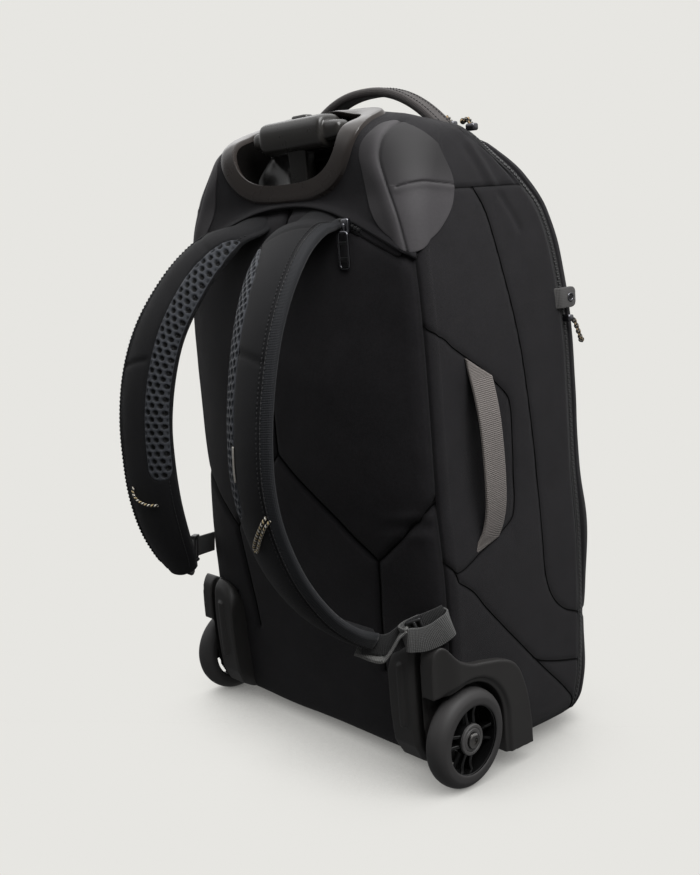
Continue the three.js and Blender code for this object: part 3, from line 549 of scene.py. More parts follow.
def plastic_material(name, low, high, rough=0.4, spec=0.5, grain=900.0, depth=0.05, coat=0.0, metal=0.0, rough_var=0.12):
    n = Nodes(name)
    tc = n.node("ShaderNodeTexCoord")
    fine = n.noise(tc.outputs["Object"], grain, 3.0, 0.6)
    broad = n.noise(tc.outputs["Object"], 26.0, 4.0, 0.6)
    col = n.mix(n.math("ADD", n.math("MULTIPLY", broad, 0.7), n.math("MULTIPLY", fine, 0.3)), low, high)
    # painted shade: darker where the mesh carries its shade attribute
    at = n.node("ShaderNodeAttribute", attribute_name="mark")
    col = n.mix(n.math("MINIMUM", at.outputs["Fac"], 1.0), col, tuple(c * 0.25 for c in low))
    n.link(col, n.bsdf.inputs["Base Color"])
    n.link(n.math("ADD", rough - rough_var / 2, n.math("MULTIPLY", broad, rough_var)), n.bsdf.inputs["Roughness"])
    n.link(n.bump(fine, depth * 0.001, 0.7), n.bsdf.inputs["Normal"])
    n.set(spec=spec, coat=coat, metal=metal)
    if coat:
        n.set(coat_rough=0.12)
    return n.mat


def speckle_material(name, colours, pitch=3.2):
    """Twisted cord: light, dark and tan flecks along its length."""
    n = Nodes(name)
    tc = n.node("ShaderNodeTexCoord")
    sep = n.node("ShaderNodeSeparateXYZ")
    n.link(tc.outputs["UV"], sep.inputs[0])
    ang = n.math("ADD", n.math("MULTIPLY", sep.outputs[1], 2 * math.pi / (pitch * 0.001)), n.math("MULTIPLY", sep.outputs[0], 2 * math.pi / 0.005))
    w = n.math("SINE", ang)
    w2 = n.math("SINE", n.math("ADD", n.math("MULTIPLY", ang, 0.5), 0.7))
    col = n.mix(n.math("GREATER_THAN", w, 0.15), colours[0], colours[1])
    col = n.mix(n.math("GREATER_THAN", w2, 0.78), col, colours[2])
    n.link(col, n.bsdf.inputs["Base Color"])
    n.link(n.bump(w, 0.0003, 0.8), n.bsdf.inputs["Normal"])
    n.set(rough=0.75, spec=0.25, sheen=0.1)
    return n.mat


M = {
    "cloth": cloth_material("cloth_black", lin(22, 21, 23), lin(38, 37, 39)),
    "side_cloth": cloth_material("cloth_side", lin(24, 23, 25), lin(40, 39, 41), pitch=0.8),
    "yoke": cloth_material("cloth_yoke", lin(24, 23, 25), lin(40, 39, 41), pitch=0.8),
    "strap": cloth_material("strap_cloth", lin(18, 18, 19), lin(31, 31, 33), pitch=1.0),
    "patch": cloth_material("patch_coated", lin(58, 56, 58), lin(70, 68, 70), pitch=0.6, depth=0.03, rough=0.6, spec=0.25, sheen=0.0, painted_shade_to=0.35),
    "mesh": cloth_material("spacer_mesh", lin(40, 42, 46), lin(66, 69, 75), pitch=0.8, depth=0.1, rough=0.7, spec=0.3, sheen=0.1, painted_shade_to=0.08),
    "binding": rib_material("binding_tape", lin(12, 13, 16), lin(24, 26, 30), pitch=1.2, depth=0.25, rough=0.7, spec=0.2),
    # three copies of the grey webbing: the base one, a darker one as painted shade and a lighter one as painted light
    "webbing": rib_material("grey_webbing_dark", lin(56, 56, 56), lin(98, 98, 97), pitch=1.3, depth=0.3),
    "webbing_lightened_copy": rib_material("grey_webbing_lightened_copy", lin(70, 70, 69), lin(116, 116, 114), pitch=1.3, depth=0.3),
    "webbing_shaded_copy": rib_material("grey_webbing_shade", lin(30, 30, 31), lin(54, 54, 54), pitch=1.3, depth=0.3),
    "handle_web": rib_material("side_handle_web", lin(74, 70, 68), lin(134, 128, 124), pitch=1.6, depth=0.4, rough=0.75, spec=0.15, cross=0.4),
    "top_web": rib_material("top_handle_web", lin(50, 47, 46), lin(78, 74, 73), pitch=1.5, depth=0.3, rough=0.7),
    "zip_tape": cloth_material("zip_tape", lin(18, 18, 19), lin(32, 32, 33), pitch=1.2, depth=0.2, rough=0.7, spec=0.25),
    "zip_teeth": plastic_material("zip_teeth", lin(22, 22, 22), lin(38, 38, 39), rough=0.35, spec=0.5),
    "bezel": plastic_material("bezel_satin", lin(42, 37, 35), lin(56, 51, 48), rough=0.28, spec=0.5, grain=1400.0, depth=0.02, rough_var=0.08),
    "cup": plastic_material("cup_gloss", lin(13, 12, 12), lin(20, 19, 18), rough=0.16, spec=0.5, depth=0.005),
    "gloss": plastic_material("gloss_black", lin(8, 8, 8), lin(15, 15, 15), rough=0.22, spec=0.5, depth=0.01),
    "grip": plastic_material("grip_black", lin(36, 35, 33), lin(50, 48, 46), rough=0.28, spec=0.5, depth=0.02),
    "housing": plastic_material("housing_grain", lin(31, 30, 30), lin(44, 43, 42), rough=0.5, spec=0.4, grain=1600.0, depth=0.06),
    "tyre": plastic_material("tyre_rubber", lin(43, 42, 42), lin(60, 59, 59), rough=0.58, spec=0.3, grain=1100.0, depth=0.05),
    "hubcap": plastic_material("hub_cap", lin(58, 57, 57), lin(84, 83, 82), rough=0.4, spec=0.5, depth=0.02),
    "post": plastic_material("post_anodised", lin(26, 25, 24), lin(40, 39, 37), rough=0.26, spec=0.5, depth=0.005, metal=0.3),
    "metal": plastic_material("dark_nickel", lin(78, 78, 82), lin(120, 120, 124), rough=0.25, spec=0.5, depth=0.01, metal=1.0),
    "bolt": plastic_material("bolt_steel", lin(105, 104, 102), lin(150, 148, 146), rough=0.2, spec=0.5, depth=0.005, metal=1.0),
    "buckle": plastic_material("buckle_black", lin(22, 22, 23), lin(36, 36, 37), rough=0.38, spec=0.45, depth=0.02),
    "seam": cloth_material("seam_shadow", lin(9, 9, 9), lin(16, 16, 16), pitch=0.8, depth=0.05, rough=0.95, spec=0.03, sheen=0.0),
    "tab_web": rib_material("lash_tab_webbing", lin(52, 51, 51), lin(90, 89, 88), pitch=1.3, depth=0.3),
    "thread": cloth_material("thread", lin(19, 19, 20), lin(33, 33, 35), pitch=0.6, depth=0.05, rough=0.6, spec=0.3),
    "reflect": plastic_material("reflective_tab", lin(120, 118, 112), lin(186, 182, 174), rough=0.4, spec=0.5, depth=0.02),
    "cord": speckle_material("cord_speckled", (lin(22, 22, 20), lin(216, 210, 198), lin(190, 170, 128))),
    "pull_cord": speckle_material("cord_dark", (lin(20, 20, 20), lin(110, 106, 98), lin(168, 142, 104))),
}

# ------------------------------------------------------------------ camera, floor and light
cam_data = bpy.data.cameras.new("photo_camera")
cam_data.lens = 42.39
cam_data.sensor_width = 36
cam_data.clip_start, cam_data.clip_end = 0.01, 200
cam = bpy.data.objects.new("photo_camera", cam_data)
cam.location = (0.675, -0.6454, 0.399)
cam.rotation_euler = (math.radians(90 - 7.59), 0, math.radians(46.27))
bpy.context.scene.collection.objects.link(cam)
bpy.context.scene.camera = cam

bpy.context.scene.view_settings.view_transform = "Standard"

FLOOR_TONE = lin(231, 230, 226)
floor_mesh = bpy.data.meshes.new("floor")
floor_mesh.from_pydata([(-60, -60, 0), (60, -60, 0), (60, 60, 0), (-60, 60, 0)], [], [(0, 1, 2, 3)])
floor = bpy.data.objects.new("floor", floor_mesh)
bpy.context.scene.collection.objects.link(floor)
floor.visible_diffuse = False
floor.visible_glossy = False
# the floor glows evenly; its soft contact shadow is painted into the glow from ambient occlusion
fn = Nodes("floor_glow_ao_shadow")
fn.t.nodes.remove(fn.bsdf)
ao = fn.node("ShaderNodeAmbientOcclusion", samples=12, i_Distance=0.17)
ramp = fn.node("ShaderNodeValToRGB")
fn.link(ao.outputs["AO"], ramp.inputs["Fac"])
for k, (pos, tone) in enumerate(((0.0, 0.10), (0.10, 0.22), (0.21, 0.37), (0.35, 0.49), (0.457, 0.63), (0.56, 0.82), (0.64, 0.93), (0.75, 0.985), (0.86, 1.0))):
    el = ramp.color_ramp.elements[k] if k < 2 else ramp.color_ramp.elements.new(pos)
    el.position = pos
    el.color = tuple(c * tone for c in FLOOR_TONE) + (1,)
glow = fn.node("ShaderNodeEmission")
fn.link(ramp.outputs["Color"], glow.inputs["Color"])
fn.link(glow.outputs[0], next(n for n in fn.t.nodes if n.type == "OUTPUT_MATERIAL").inputs["Surface"])
floor_mesh.materials.append(fn.mat)

# Soft boxes far off, all round: (direction to the light, half angle where it fades out, half angle where it is full, strength, tint)
BOXES = [
    ((0.80, -0.25, 0.95), 48, 18, 0.35, (1.0, 0.99, 0.98)),
    ((-0.62, -0.72, 0.80), 38, 12, 0.85, (0.98, 0.99, 1.0)),
    ((0.05, 0.10, 1.0), 50, 18, 2.4, (1.0, 1.0, 1.0)),
    ((-0.6, 0.75, 0.5), 40, 16, 1.0, (1.0, 1.0, 1.0)),
    ((0.55, 0.8, 0.55), 40, 16, 0.7, (1.0, 1.0, 1.0)),
    ((-0.95, 0.12, 0.42), 42, 18, 0.8, (1.0, 1.0, 1.0)),
    ((0.25, -0.25, -1.0), 85, 50, 0.09, (1.0, 1.0, 1.0)),
]
AMBIENT = 0.125
LIGHT = 0.92

key_data = bpy.data.lights.new("key_box", "AREA")
key_data.shape = "DISK"
key_data.size = 0.9
key_data.energy = 14.0
key = bpy.data.objects.new("key_box", key_data)
key.location = (0.80, -0.22, 1.28)
key.rotation_euler = (Vector((0.08, 0.0, 0.5)) - Vector(key.location)).to_track_quat("-Z", "Y").to_euler()
bpy.context.scene.collection.objects.link(key)
wd = bpy.data.worlds.new("studio")
bpy.context.scene.world = wd
wd.use_nodes = True
wt = wd.node_tree
wt.nodes.clear()
w_out = wt.nodes.new("ShaderNodeOutputWorld")
w_tc = wt.nodes.new("ShaderNodeTexCoord")
total = None
for to, fade, full, power, tint in BOXES:
    dot = wt.nodes.new("ShaderNodeVectorMath")
    dot.operation = "DOT_PRODUCT"
    wt.links.new(w_tc.outputs["Generated"], dot.inputs[0])
    dot.inputs[1].default_value = tuple(unit(to))
    mr = wt.nodes.new("ShaderNodeMapRange")
    mr.interpolation_type = "SMOOTHSTEP"
    mr.inputs["From Min"].default_value = math.cos(math.radians(fade))
    mr.inputs["From Max"].default_value = math.cos(math.radians(full))
    wt.links.new(dot.outputs["Value"], mr.inputs["Value"])
    sc = wt.nodes.new("ShaderNodeVectorMath")
    sc.operation = "SCALE"
    sc.inputs[0].default_value = tuple(c * power * LIGHT for c in tint)
    wt.links.new(mr.outputs["Result"], sc.inputs["Scale"])
    if total is None:
        total = sc.outputs[0]
    else:
        ad = wt.nodes.new("ShaderNodeVectorMath")
        ad.operation = "ADD"
        wt.links.new(total, ad.inputs[0])
        wt.links.new(sc.outputs[0], ad.inputs[1])
        total = ad.outputs[0]
ad = wt.nodes.new("ShaderNodeVectorMath")
ad.operation = "ADD"
wt.links.new(total, ad.inputs[0])
ad.inputs[1].default_value = (AMBIENT * LIGHT,) * 3
bg_light = wt.nodes.new("ShaderNodeBackground")
wt.links.new(ad.outputs[0], bg_light.inputs["Color"])
bg_seen = wt.nodes.new("ShaderNodeBackground")
bg_seen.inputs["Color"].default_value = FLOOR_TONE + (1,)
path = wt.nodes.new("ShaderNodeLightPath")
mixer = wt.nodes.new("ShaderNodeMixShader")
wt.links.new(path.outputs["Is Camera Ray"], mixer.inputs["Fac"])
wt.links.new(bg_light.outputs[0], mixer.inputs[1])
wt.links.new(bg_seen.outputs[0], mixer.inputs[2])
wt.links.new(mixer.outputs[0], w_out.inputs["Surface"])

# ------------------------------------------------------------------ strap geometry, shared by the cords and the straps
STRAP_ROWS = {
    "right": [
        (40, -62, 483, 30, 0), (41, -78, 472.5, 30, 0), (46, -102, 466, 31, 4), (54, -128, 451, 32, 8), (64, -153, 428, 33, 10), (72, -174, 397, 33.2, 12),
        (77.5, -189, 360, 33, 13), (79.5, -197, 322, 32.5, 13), (80.5, -199, 285, 32.5, 13), (82.5, -194, 250, 32.5, 13), (87.5, -182, 212, 32, 12),
        (95.5, -162, 179, 29, 12), (106, -138, 156.5, 20.5, 14), (115.5, -118, 145, 10, 16),
    ],
    "left": [
        (46, -62, 483, 29, 0), (47, -78, 472.5, 29, 0), (54, -100, 464, 29, 4), (63, -122, 446, 29, 8), (72, -143, 420, 29, 10), (80, -160, 390, 29, 12),
        (85, -172, 355, 29.5, 13), (87, -179, 318, 29.5, 13), (87, -181, 282, 29.5, 13), (88, -179, 248, 29.5, 13), (90, -172, 215, 28.5, 12),
        (93, -162, 190, 24, 12), (96, -153, 174, 16, 14),
    ],
}


class Strap:
    """A padded shoulder strap: u runs -1 (towards the middle of the back) to 1 (outer edge), a is length along it in mm."""

    def __init__(self, side):
        self.m = 1 if side == "right" else -1
        rows = np.array(STRAP_ROWS[side], float)
        line = even(rows[:, :5], 240)
        c = line[:, :3] * np.array([self.m, 1, 1])
        turn = np.radians(line[:, 4])
        w = np.stack([self.m * np.cos(turn), -np.sin(turn), 0 * turn], 1)
        tan, wide, thick = sweep_frames(c, w)
        out = thick * np.sign(np.sum(thick * np.array([0, -1, 0.0]), -1, keepdims=True))
        out[:12] = thick[:12] * np.sign(thick[12] @ out[12])
        self.c, self.wide, self.out, self.hw = c, wide, out, line[:, 3]
        self.d = np.concatenate([[0], np.cumsum(np.linalg.norm(np.diff(c, axis=0), axis=1))])
        self.length = self.d[-1]

    def at(self, a):
        f = lambda arr: np.stack([np.interp(a, self.d, arr[:, k]) for k in range(3)], -1)
        return f(self.c), unit(f(self.wide)), unit(f(self.out)), np.interp(a, self.d, self.hw)

    BOW = 5.5

    def point(self, a, u, lift=0.0, face=1):
        """On the outer face (face 1) or the inner face (face -1), lifted by lift mm."""
        a, u = np.broadcast_arrays(np.asarray(a, float), np.asarray(u, float))
        c, w, o, hw = self.at(a)
        bow = 2.0 - self.BOW * np.abs(u) ** 2
        pad = 5.4 * (1 - np.abs(u) ** 3.2) ** 0.6 + 1.1
        ends = np.clip(0.3 + (a - 14) / 50, 0.3, 1)
        h = bow + face * pad * ends + lift
        return c + w * (u * hw)[..., None] + o * h[..., None]

    def normal(self, a, u):
        e, f = 0.8, 0.03
        da = self.point(a + e, u) - self.point(a - e, u)
        du = self.point(a, np.clip(u + f, -0.97, 0.97)) - self.point(a, np.clip(u - f, -0.97, 0.97))
        n = unit(np.cross(du, da))
        o = self.at(np.asarray(a, float))[2]
        return n * np.sign(np.sum(n * o, -1, keepdims=True) + 1e-9)


STRAPS = {"right": Strap("right"), "left": Strap("left")}

# ------------------------------------------------------------------ cords
CORD_R = 1.15


def strap_spot(side, x, z, lift):
    """The point on a strap's outer face over the given x and z of the leaning frame."""
    st = STRAPS[side]
    low = np.arange(len(st.d)) > 40
    a_ = np.interp(-z, -st.c[low, 2], st.d[low])
    c_, w_, _, hw_ = st.at(a_)
    u_ = np.clip((x - c_[..., 0]) / (w_[..., 0] * hw_), -0.97, 0.97)
    return st.point(a_, u_, lift)


CORDS = {
    "right": [(107, 268, 0.3), (104.5, 264, 1.8), (96.5, 254.5, 2.0), (88.5, 246.5, 2.0), (84.8, 242.4, 2.0), (84.6, 239.4, 2.0), (87.4, 239.2, 2.0), (91.6, 243, 2.0), (99.5, 252.4, 2.0), (107.2, 262, 1.8), (109.8, 265.5, 0.3)],
    "left": [(-99.5, 260, 0.6), (-100, 255.5, 2.2), (-96.5, 250.5, 2.8), (-90, 247.6, 2.8), (-83, 246.2, 2.6), (-75.5, 245.4, 0.6)],
}
for side in ("right", "left"):
    spots = np.array(CORDS[side], float)
    line = even(np.array([strap_spot(side, *q) for q in spots]), 60)
    soup = Soup()
    tan = unit(np.gradient(line, axis=0))
    sweep(soup, line, np.cross(tan, (0.1, -1.0, 0.1)), circle(CORD_R, 10))
    ob = soup.build("strap_cord_loop_" + side, "bag", M["cord"], "strap_cord_" + side, "cord")
    line = world(line)

# ------------------------------------------------------------------ seams of the cloth body, as (s, t) rows
SEAMS = {
    "centre": [(0, 486), (0, 420), (0, 350), (0, 281)],
    "lambda": [(0, 281), (0.09, 269.5), (0.183, 257.8), (0.306, 242.7), (0.415, 229.3), (0.518, 215.0), (0.628, 202.0), (0.671, 196.4)],
    "arm": [(0.671, 196.4), (0.729, 203.1), (0.778, 209.1), (0.878, 221.0), (0.987, 235.6), (1.327, 247.2), (1.5, 252.0)],
    "vertical": [(0.671, 196.4), (0.657, 179.3), (0.636, 150.2), (0.624, 128.6), (0.61, 90)],
    "comp": [(2.463, 490.9), (2.511, 477.2), (2.549, 451.4), (2.582, 418.7), (2.612, 389.4), (2.639, 360), (2.677, 312.0), (2.706, 267.4), (2.718, 222.3), (2.716, 183.2), (2.72, 165.0), (2.742, 147.9), (2.794, 132.1), (2.898, 118.1), (3.0, 112.2), (3.075, 109.5)],
    "pocket": [(1.5, 390), (1.644, 386.4), (2.01, 379.7), (2.092, 370.2), (2.22, 357.0), (2.331, 345.5), (2.421, 333.3), (2.505, 320.2), (2.523, 307.9), (2.523, 282.4), (2.518, 256.6), (2.506, 231.0), (2.47, 216.9), (2.4, 211.2), (2.292, 204.6), (2.18, 199.4), (2.078, 192.9), (2.006, 190.4), (1.773, 195.4), (1.503, 202.8)],
    "diagonal": [(1.503, 202.8), (1.866, 192.0), (2.079, 172.9), (2.198, 151.1), (2.324, 129.8), (2.453, 109.1), (2.589, 88.0), (2.738, 66.6), (2.905, 44.4), (3.06, 24), (3.14, 13)],
    "short": [(2.589, 87.1), (2.654, 81.3), (2.739, 76.8), (2.896, 70.4), (3.07, 65.3)],
    "crease": [(1.34, 440), (1.323, 447), (1.283, 470), (1.24, 492), (1.277, 512.8), (1.345, 524), (1.43, 532.8), (1.54, 539), (1.66, 543.5)],
    "cross": [(1.39, 493.8), (1.52, 495.2), (1.648, 496), (1.807, 496.5), (2.0, 495.4), (2.25, 493)],
    "front_low": [(3.26, 104), (3.6, 101), (4.0, 100), (4.5, 100), (5.0, 100)],
}


def st_line(name, n=70, mirror=1):
    rows = np.array(SEAMS[name], float)
    line = even(rows * np.array([70, 1]), n) / np.array([70, 1])
    return line[:, 0] * mirror, line[:, 1]


def seam_points(name, n=34, mirror=1):
    return bag(*st_line(name, n, mirror))


def groove(d, depth, width):
    return -depth * np.exp(-((d / width) ** 2))


def columns(s0, s1, t, step):
    ss = np.linspace(s0, s1, 3000)
    p = bag(ss, np.full_like(ss, t))
    d = np.concatenate([[0], np.cumsum(np.linalg.norm(np.diff(p, axis=0), axis=1))])
    return np.interp(np.linspace(0, d[-1], int(d[-1] / step) + 2), d, ss)


HOUSE = [(-92, 46), (-94, 70), (-94, 118), (-91, 131), (-84, 136), (-71, 122), (-55, 113), (-39, 109), (-17, 103), (-4, 97), (5, 88), (12, 73), (17, 55), (20, 30), (20.5, 14.1 - TL * 20.5), (-50, 14.1 + TL * 50), (-72, 14.1 + TL * 72), (-85, 31)]
MOUTH = {"floor": 388, "outer": (87.5, 305.5, 362.0, 390.0, 3.2), "inner": (68.0, 315.8, 361.0, 378.0, 3.4)}
E_W = np.array([0, math.cos(math.radians(46)), math.sin(math.radians(46))])
E_N = np.array([0, -E_W[2], E_W[1]])


def in_polygon(poly, x, y):
    inside = np.zeros(x.shape, bool)
    n = len(poly)
    for i in range(n):
        (x0, y0), (x1, y1) = poly[i], poly[(i + 1) % n]
        cross = ((y0 > y) != (y1 > y)) & (x < (x1 - x0) * (y - y0) / ((y1 - y0) if y1 != y0 else 1e-9) + x0)
        inside ^= cross
    return inside


def inset_polygon(poly, d):
    p = np.asarray(poly, float)
    n = len(p)
    area = np.sum(p[:, 0] * np.roll(p[:, 1], -1) - np.roll(p[:, 0], -1) * p[:, 1])
    turn = np.sign(area)
    e = unit(p - np.roll(p, 1, 0))
    f = unit(np.roll(p, -1, 0) - p)
    n1 = np.stack([-e[:, 1], e[:, 0]], 1) * turn
    n2 = np.stack([-f[:, 1], f[:, 0]], 1) * turn
    k = d / np.maximum(1 + np.sum(n1 * n2, 1), 0.35)
    return p + (n1 + n2) * k[:, None]


HOUSE_IN = [tuple(q) for q in inset_polygon(HOUSE, 3.5)]


def hidden_by_housing(c):
    return (np.abs(c[..., 0]) > 110) & in_polygon(HOUSE_IN, c[..., 1], c[..., 2])


def mouth_level(c, grow):
    """Below 0 inside the handle cup's outline, grown by grow; about millimetres."""
    hx, lo, wm, hi, p_ = MOUTH["outer"]
    w = c @ E_W
    h = np.where(w < wm, wm - lo, hi - wm) + grow
    return (((np.abs(c[..., 0]) / (hx + grow)) ** p_ + (np.abs(w - wm) / h) ** p_) ** (1 / p_) - 1) * 50


def add_panel(soup, p, relief, mark=None, close_u=False, drop=None, flip=False, rim=5.0, mat=0, uv=None):
    """A displaced sheet with its edges turned in."""
    n = grid_normals(p, close_u)
    if flip:
        n = -n
    q = p + n * relief[..., None]
    uv = grid_uv(p) if uv is None else uv
    mark = np.zeros(p.shape[:2]) if mark is None else mark
    if rim:
        pad = ((1, 1), (0, 0) if close_u else (1, 1))
        nn = np.stack([np.pad(n[..., k], pad, "edge") for k in range(3)], -1)
        q2 = np.stack([np.pad(q[..., k], pad, "edge") for k in range(3)], -1)
        edge = np.ones(q2.shape[:2], bool)
        edge[1:-1, slice(None) if close_u else slice(1, -1)] = False
        q2[edge] -= nn[edge] * rim
        uv2 = np.stack([np.pad(uv[..., k], pad, "edge") for k in range(2)], -1)
        mk2 = np.pad(mark, pad, "edge")
        q, uv, mark = q2, uv2, mk2
    faces = grid_faces(q.shape[0], q.shape[1], close_u=close_u, flip=flip)
    if drop is not None:
        flat = q.reshape(-1, 3)
        faces = faces[~drop(flat[faces].mean(1))]
    soup.add(q, faces, uv, mark, mat)
    return q


def nearest(p, grid, values):
    """The grid's value at the grid point nearest to each of p."""
    g = grid.reshape(-1, 3)
    v = values.reshape(-1)
    return np.array([v[np.argmin(np.sum((g - q) ** 2, 1))] for q in p])


def seam_strip(soup, s, t, relief_at, width=1.5, lift=0.25, mat=0):
    """A narrow dark strip in the bottom of a seam: painted shade in the seam."""
    p = bag(s, t)
    n = bag_normal(s, t)
    c = p + n * (relief_at + lift)[..., None]
    tan = unit(np.gradient(c, axis=0))
    sec = np.array([(-width / 2, 0), (0, -0.5), (width / 2, 0), (0, 0.35)])
    sweep(soup, c, np.cross(tan, n), sec, mat)


STEP = 2.0

PATCH_RIM = even(np.array([
    (1.62, 543.6), (1.5, 543.4), (1.36, 538.5), (1.2, 530.5), (1.075, 520.5), (0.972, 508), (0.9, 493), (0.882, 478), (0.94, 463), (1.09, 450.5),
    (1.36, 445.6), (1.72, 446.6), (1.98, 452.5), (2.14, 467), (2.225, 484), (2.225, 502), (2.08, 518.5), (1.86, 531.5), (1.72, 539.5),
]) * np.array([45, 1]), 120, closed=True) / np.array([45, 1])


def under_patch(s, t):
    return in_polygon([tuple(q) for q in PATCH_RIM[::3]], np.abs(s), np.asarray(t, float))


# ---- back panel
S = columns(-1.5, 1.5, 280, STEP)
R = np.linspace(0, 1, int(455 / STEP))
Sg, Rg = np.meshgrid(S, R)
Tg = lerp(12.0, arch_t(Sg), Rg)
P = bag(Sg, Tg)
uvp = grid_uv(P)
back_seams = [("centre", 1), ("lambda", 1), ("lambda", -1), ("arm", 1), ("arm", -1), ("vertical", 1), ("vertical", -1)]
dmin = np.full(Sg.shape, 1e9)
for nm, mi in back_seams:
    dmin = np.minimum(dmin, line_distance(P, seam_points(nm, 16, mi)))
edge_r = line_distance(P, P[::6, -1])
edge_l = line_distance(P, P[::6, 0])
edge_t = line_distance(P, P[-1, ::5])
border = np.minimum(edge_r, edge_l)


def back_relief(dm, db, dt):
    return 1.9 * (1 - np.exp(-dm / 15)) + groove(dm, 2.3, 2.9) - 0.4 + groove(db, 2.0, 2.4) + groove(dt, 2.6, 7.0)


back_h = back_relief(dmin, border, edge_t)
back_soft = waves(3, uvp, 130, 0.6, aniso=(1, 0.7)) * np.clip(border / 30, 0, 1) + waves(5, uvp, 46, 0.12)
back_h += back_soft
back_h = np.where(under_patch(Sg, Tg), np.minimum(back_h, 0.2), back_h)
# creases that run from the arm seam towards the corner
for y0, amp in ((238, 0.9), (229, -0.8), (221, 0.6)):
    back_h += amp * np.exp(-(((P[..., 2] - y0 - 0.12 * (P[..., 0] - 120)) / 4.2) ** 2)) * sstep(96, 125, P[..., 0]) * sstep(0, 9, edge_r)
soup = Soup()
# painted shade: the colour is darkened along the seams, the side edges and the top edge under the yoke
add_panel(soup, P, back_h, mark=0.55 * np.exp(-((dmin / 3.0) ** 2)) + 0.5 * np.exp(-((border / 2.4) ** 2)) + 0.6 * np.exp(-((edge_t / 3.5) ** 2)), drop=hidden_by_housing)
for nm, mi in back_seams:
    s_, t_ = st_line(nm, 60, mi)
    keep = ~hidden_by_housing(bag(s_, t_))
    s_, t_ = s_[keep], t_[keep]
    zero = np.zeros(len(s_))
    seam_strip(soup, s_, t_, back_relief(zero, zero + 60, zero + 60) + nearest(bag(s_, t_), P, back_soft), 1.5, 0.75, 1)
back_ob = soup.build("back_panel_cloth", "bag", [M["cloth"], M["seam"]], "back_panel", "cloth")

# ---- side panels
HANDLE_AT = np.array([153, -17, 280.0])


def side_panel(mirror):
    step = STEP if mirror > 0 else 3.0
    U = np.linspace(0, 1, int(212 / step))
    Rr = np.linspace(0, 1, int(470 / step))
    Ug, Vg = np.meshgrid(U, Rr)
    s0 = lerp(1.5, 3.08, Ug)
    T0 = lerp(12.0, yoke_low(s0), Vg)
    S0 = lerp(1.5, zip_s(1.045, T0), Ug)
    P0 = bag(S0, T0)
    uv0 = grid_uv(P0)
    names = ["comp", "diagonal", "short"] + (["pocket"] if mirror > 0 else [])
    d0 = np.full(S0.shape, 1e9)
    for nm in names:
        d0 = np.minimum(d0, line_distance(P0, seam_points(nm, 30)))
    eb = line_distance(P0, P0[::6, 0])
    et = line_distance(P0, P0[-1, ::5])
    ez = line_distance(P0, P0[::6, -1])
    soft = (waves(11, uv0, 170, 0.5, aniso=(0.8, 1)) + waves(13, uv0, 60, 0.1)) * np.clip(eb / 22, 0, 1)
    if mirror > 0:  # hand room behind the side handle
        soft -= 5.5 * np.exp(-(((P0[..., 1] - HANDLE_AT[1] - 2) / 25) ** 2) - ((P0[..., 2] - HANDLE_AT[2]) / 52) ** 4)
    h0 = soft + 0.35 * (1 - np.exp(-d0 / 6)) + groove(d0, 0.8, 1.5) - 0.1
    h0 += groove(eb, 1.5, 2.0) + groove(et, 1.0, 1.8) + groove(ez, 1.2, 2.4)
    # the cloth pulls in at the top of the edge panel
    h0 += groove(line_distance(P0, bag(np.array([2.729, 2.76, 2.80]), np.array([482.5, 470.0, 455.0]))), 0.9, 4.0)
    h0 = np.where(under_patch(S0, T0), np.minimum(h0, 0.2), h0)
    # pressed in behind the wheel, clear of the tyre
    h0 = h0 - sstep(54, 46, np.hypot(P0[..., 1] + 61.7, P0[..., 2] - 49.07)) * np.maximum(0, P0[..., 0] + h0 - 143.6)
    so = Soup()
    # painted shade: the colour is darkened along the seams, the back edge and the top edge
    mk = 0.6 * np.exp(-((d0 / 1.5) ** 2)) + 0.55 * np.exp(-((eb / 2.2) ** 2)) + 0.5 * np.exp(-((et / 1.6) ** 2))
    add_panel(so, P0, h0, mark=mk, drop=hidden_by_housing)
    for nm in names:
        s_, t_ = st_line(nm, 90)
        keep = ~hidden_by_housing(bag(s_, t_))
        s_, t_ = s_[keep], t_[keep]
        seam_strip(so, s_, t_, nearest(bag(s_, t_), P0, soft) - 0.5, 0.95, 0.2, 1)
    if mirror < 0:
        so = so.mirrored()
    nm = "right" if mirror > 0 else "left"
    return so.build("side_panel_cloth_" + nm, "bag", [M["side_cloth"], M["seam"]], "side_panel_" + nm, "cloth")


side_panel(1)
side_panel(-1)

# ---- yoke over the top
S = columns(-5, 5, 500, STEP)[:-1]
R = np.linspace(0, 1, int(118 / STEP)) ** 0.92
Sg, Rg = np.meshgrid(S, R)
Tg = lerp(yoke_low(Sg), 559.6, Rg)
P = bag(Sg, Tg)
uvp = grid_uv(P)
low = line_distance(P, np.vstack([P[0, ::4], P[0, :1]]))
cr = np.minimum(line_distance(P, seam_points("crease", 24)), line_distance(P, seam_points("crease", 24, -1)))
back_edge = np.exp(-((low / 5.0) ** 2)) * (np.abs(Sg) < 1.55)
yoke_h = groove(low, 1.5, 2.2) * (np.abs(Sg) >= 1.55) + 2.6 * back_edge + groove(cr, 1.2, 2.4) + waves(21, uvp, 110, 0.35) + waves(23, uvp, 40, 0.08)
# a soft fold that runs down to the shoulder seam, and the slack cloth under the carry handle
fold = line_distance(P, bag(np.array([2.915, 2.81, 2.747, 2.727, 2.728]), np.array([523.0, 513.4, 502.8, 492.3, 488.0])))
yoke_h += 0.9 * np.exp(-((fold / 5.0) ** 2)) - 0.5 * np.exp(-(((fold - 8) / 5.0) ** 2))
yoke_h -= 4.2 * sstep(-30, 10, P[..., 1]) * sstep(536, 553, Tg)
yoke_h = np.where(under_patch(Sg, Tg), np.minimum(yoke_h, 0.2), yoke_h)
soup = Soup()
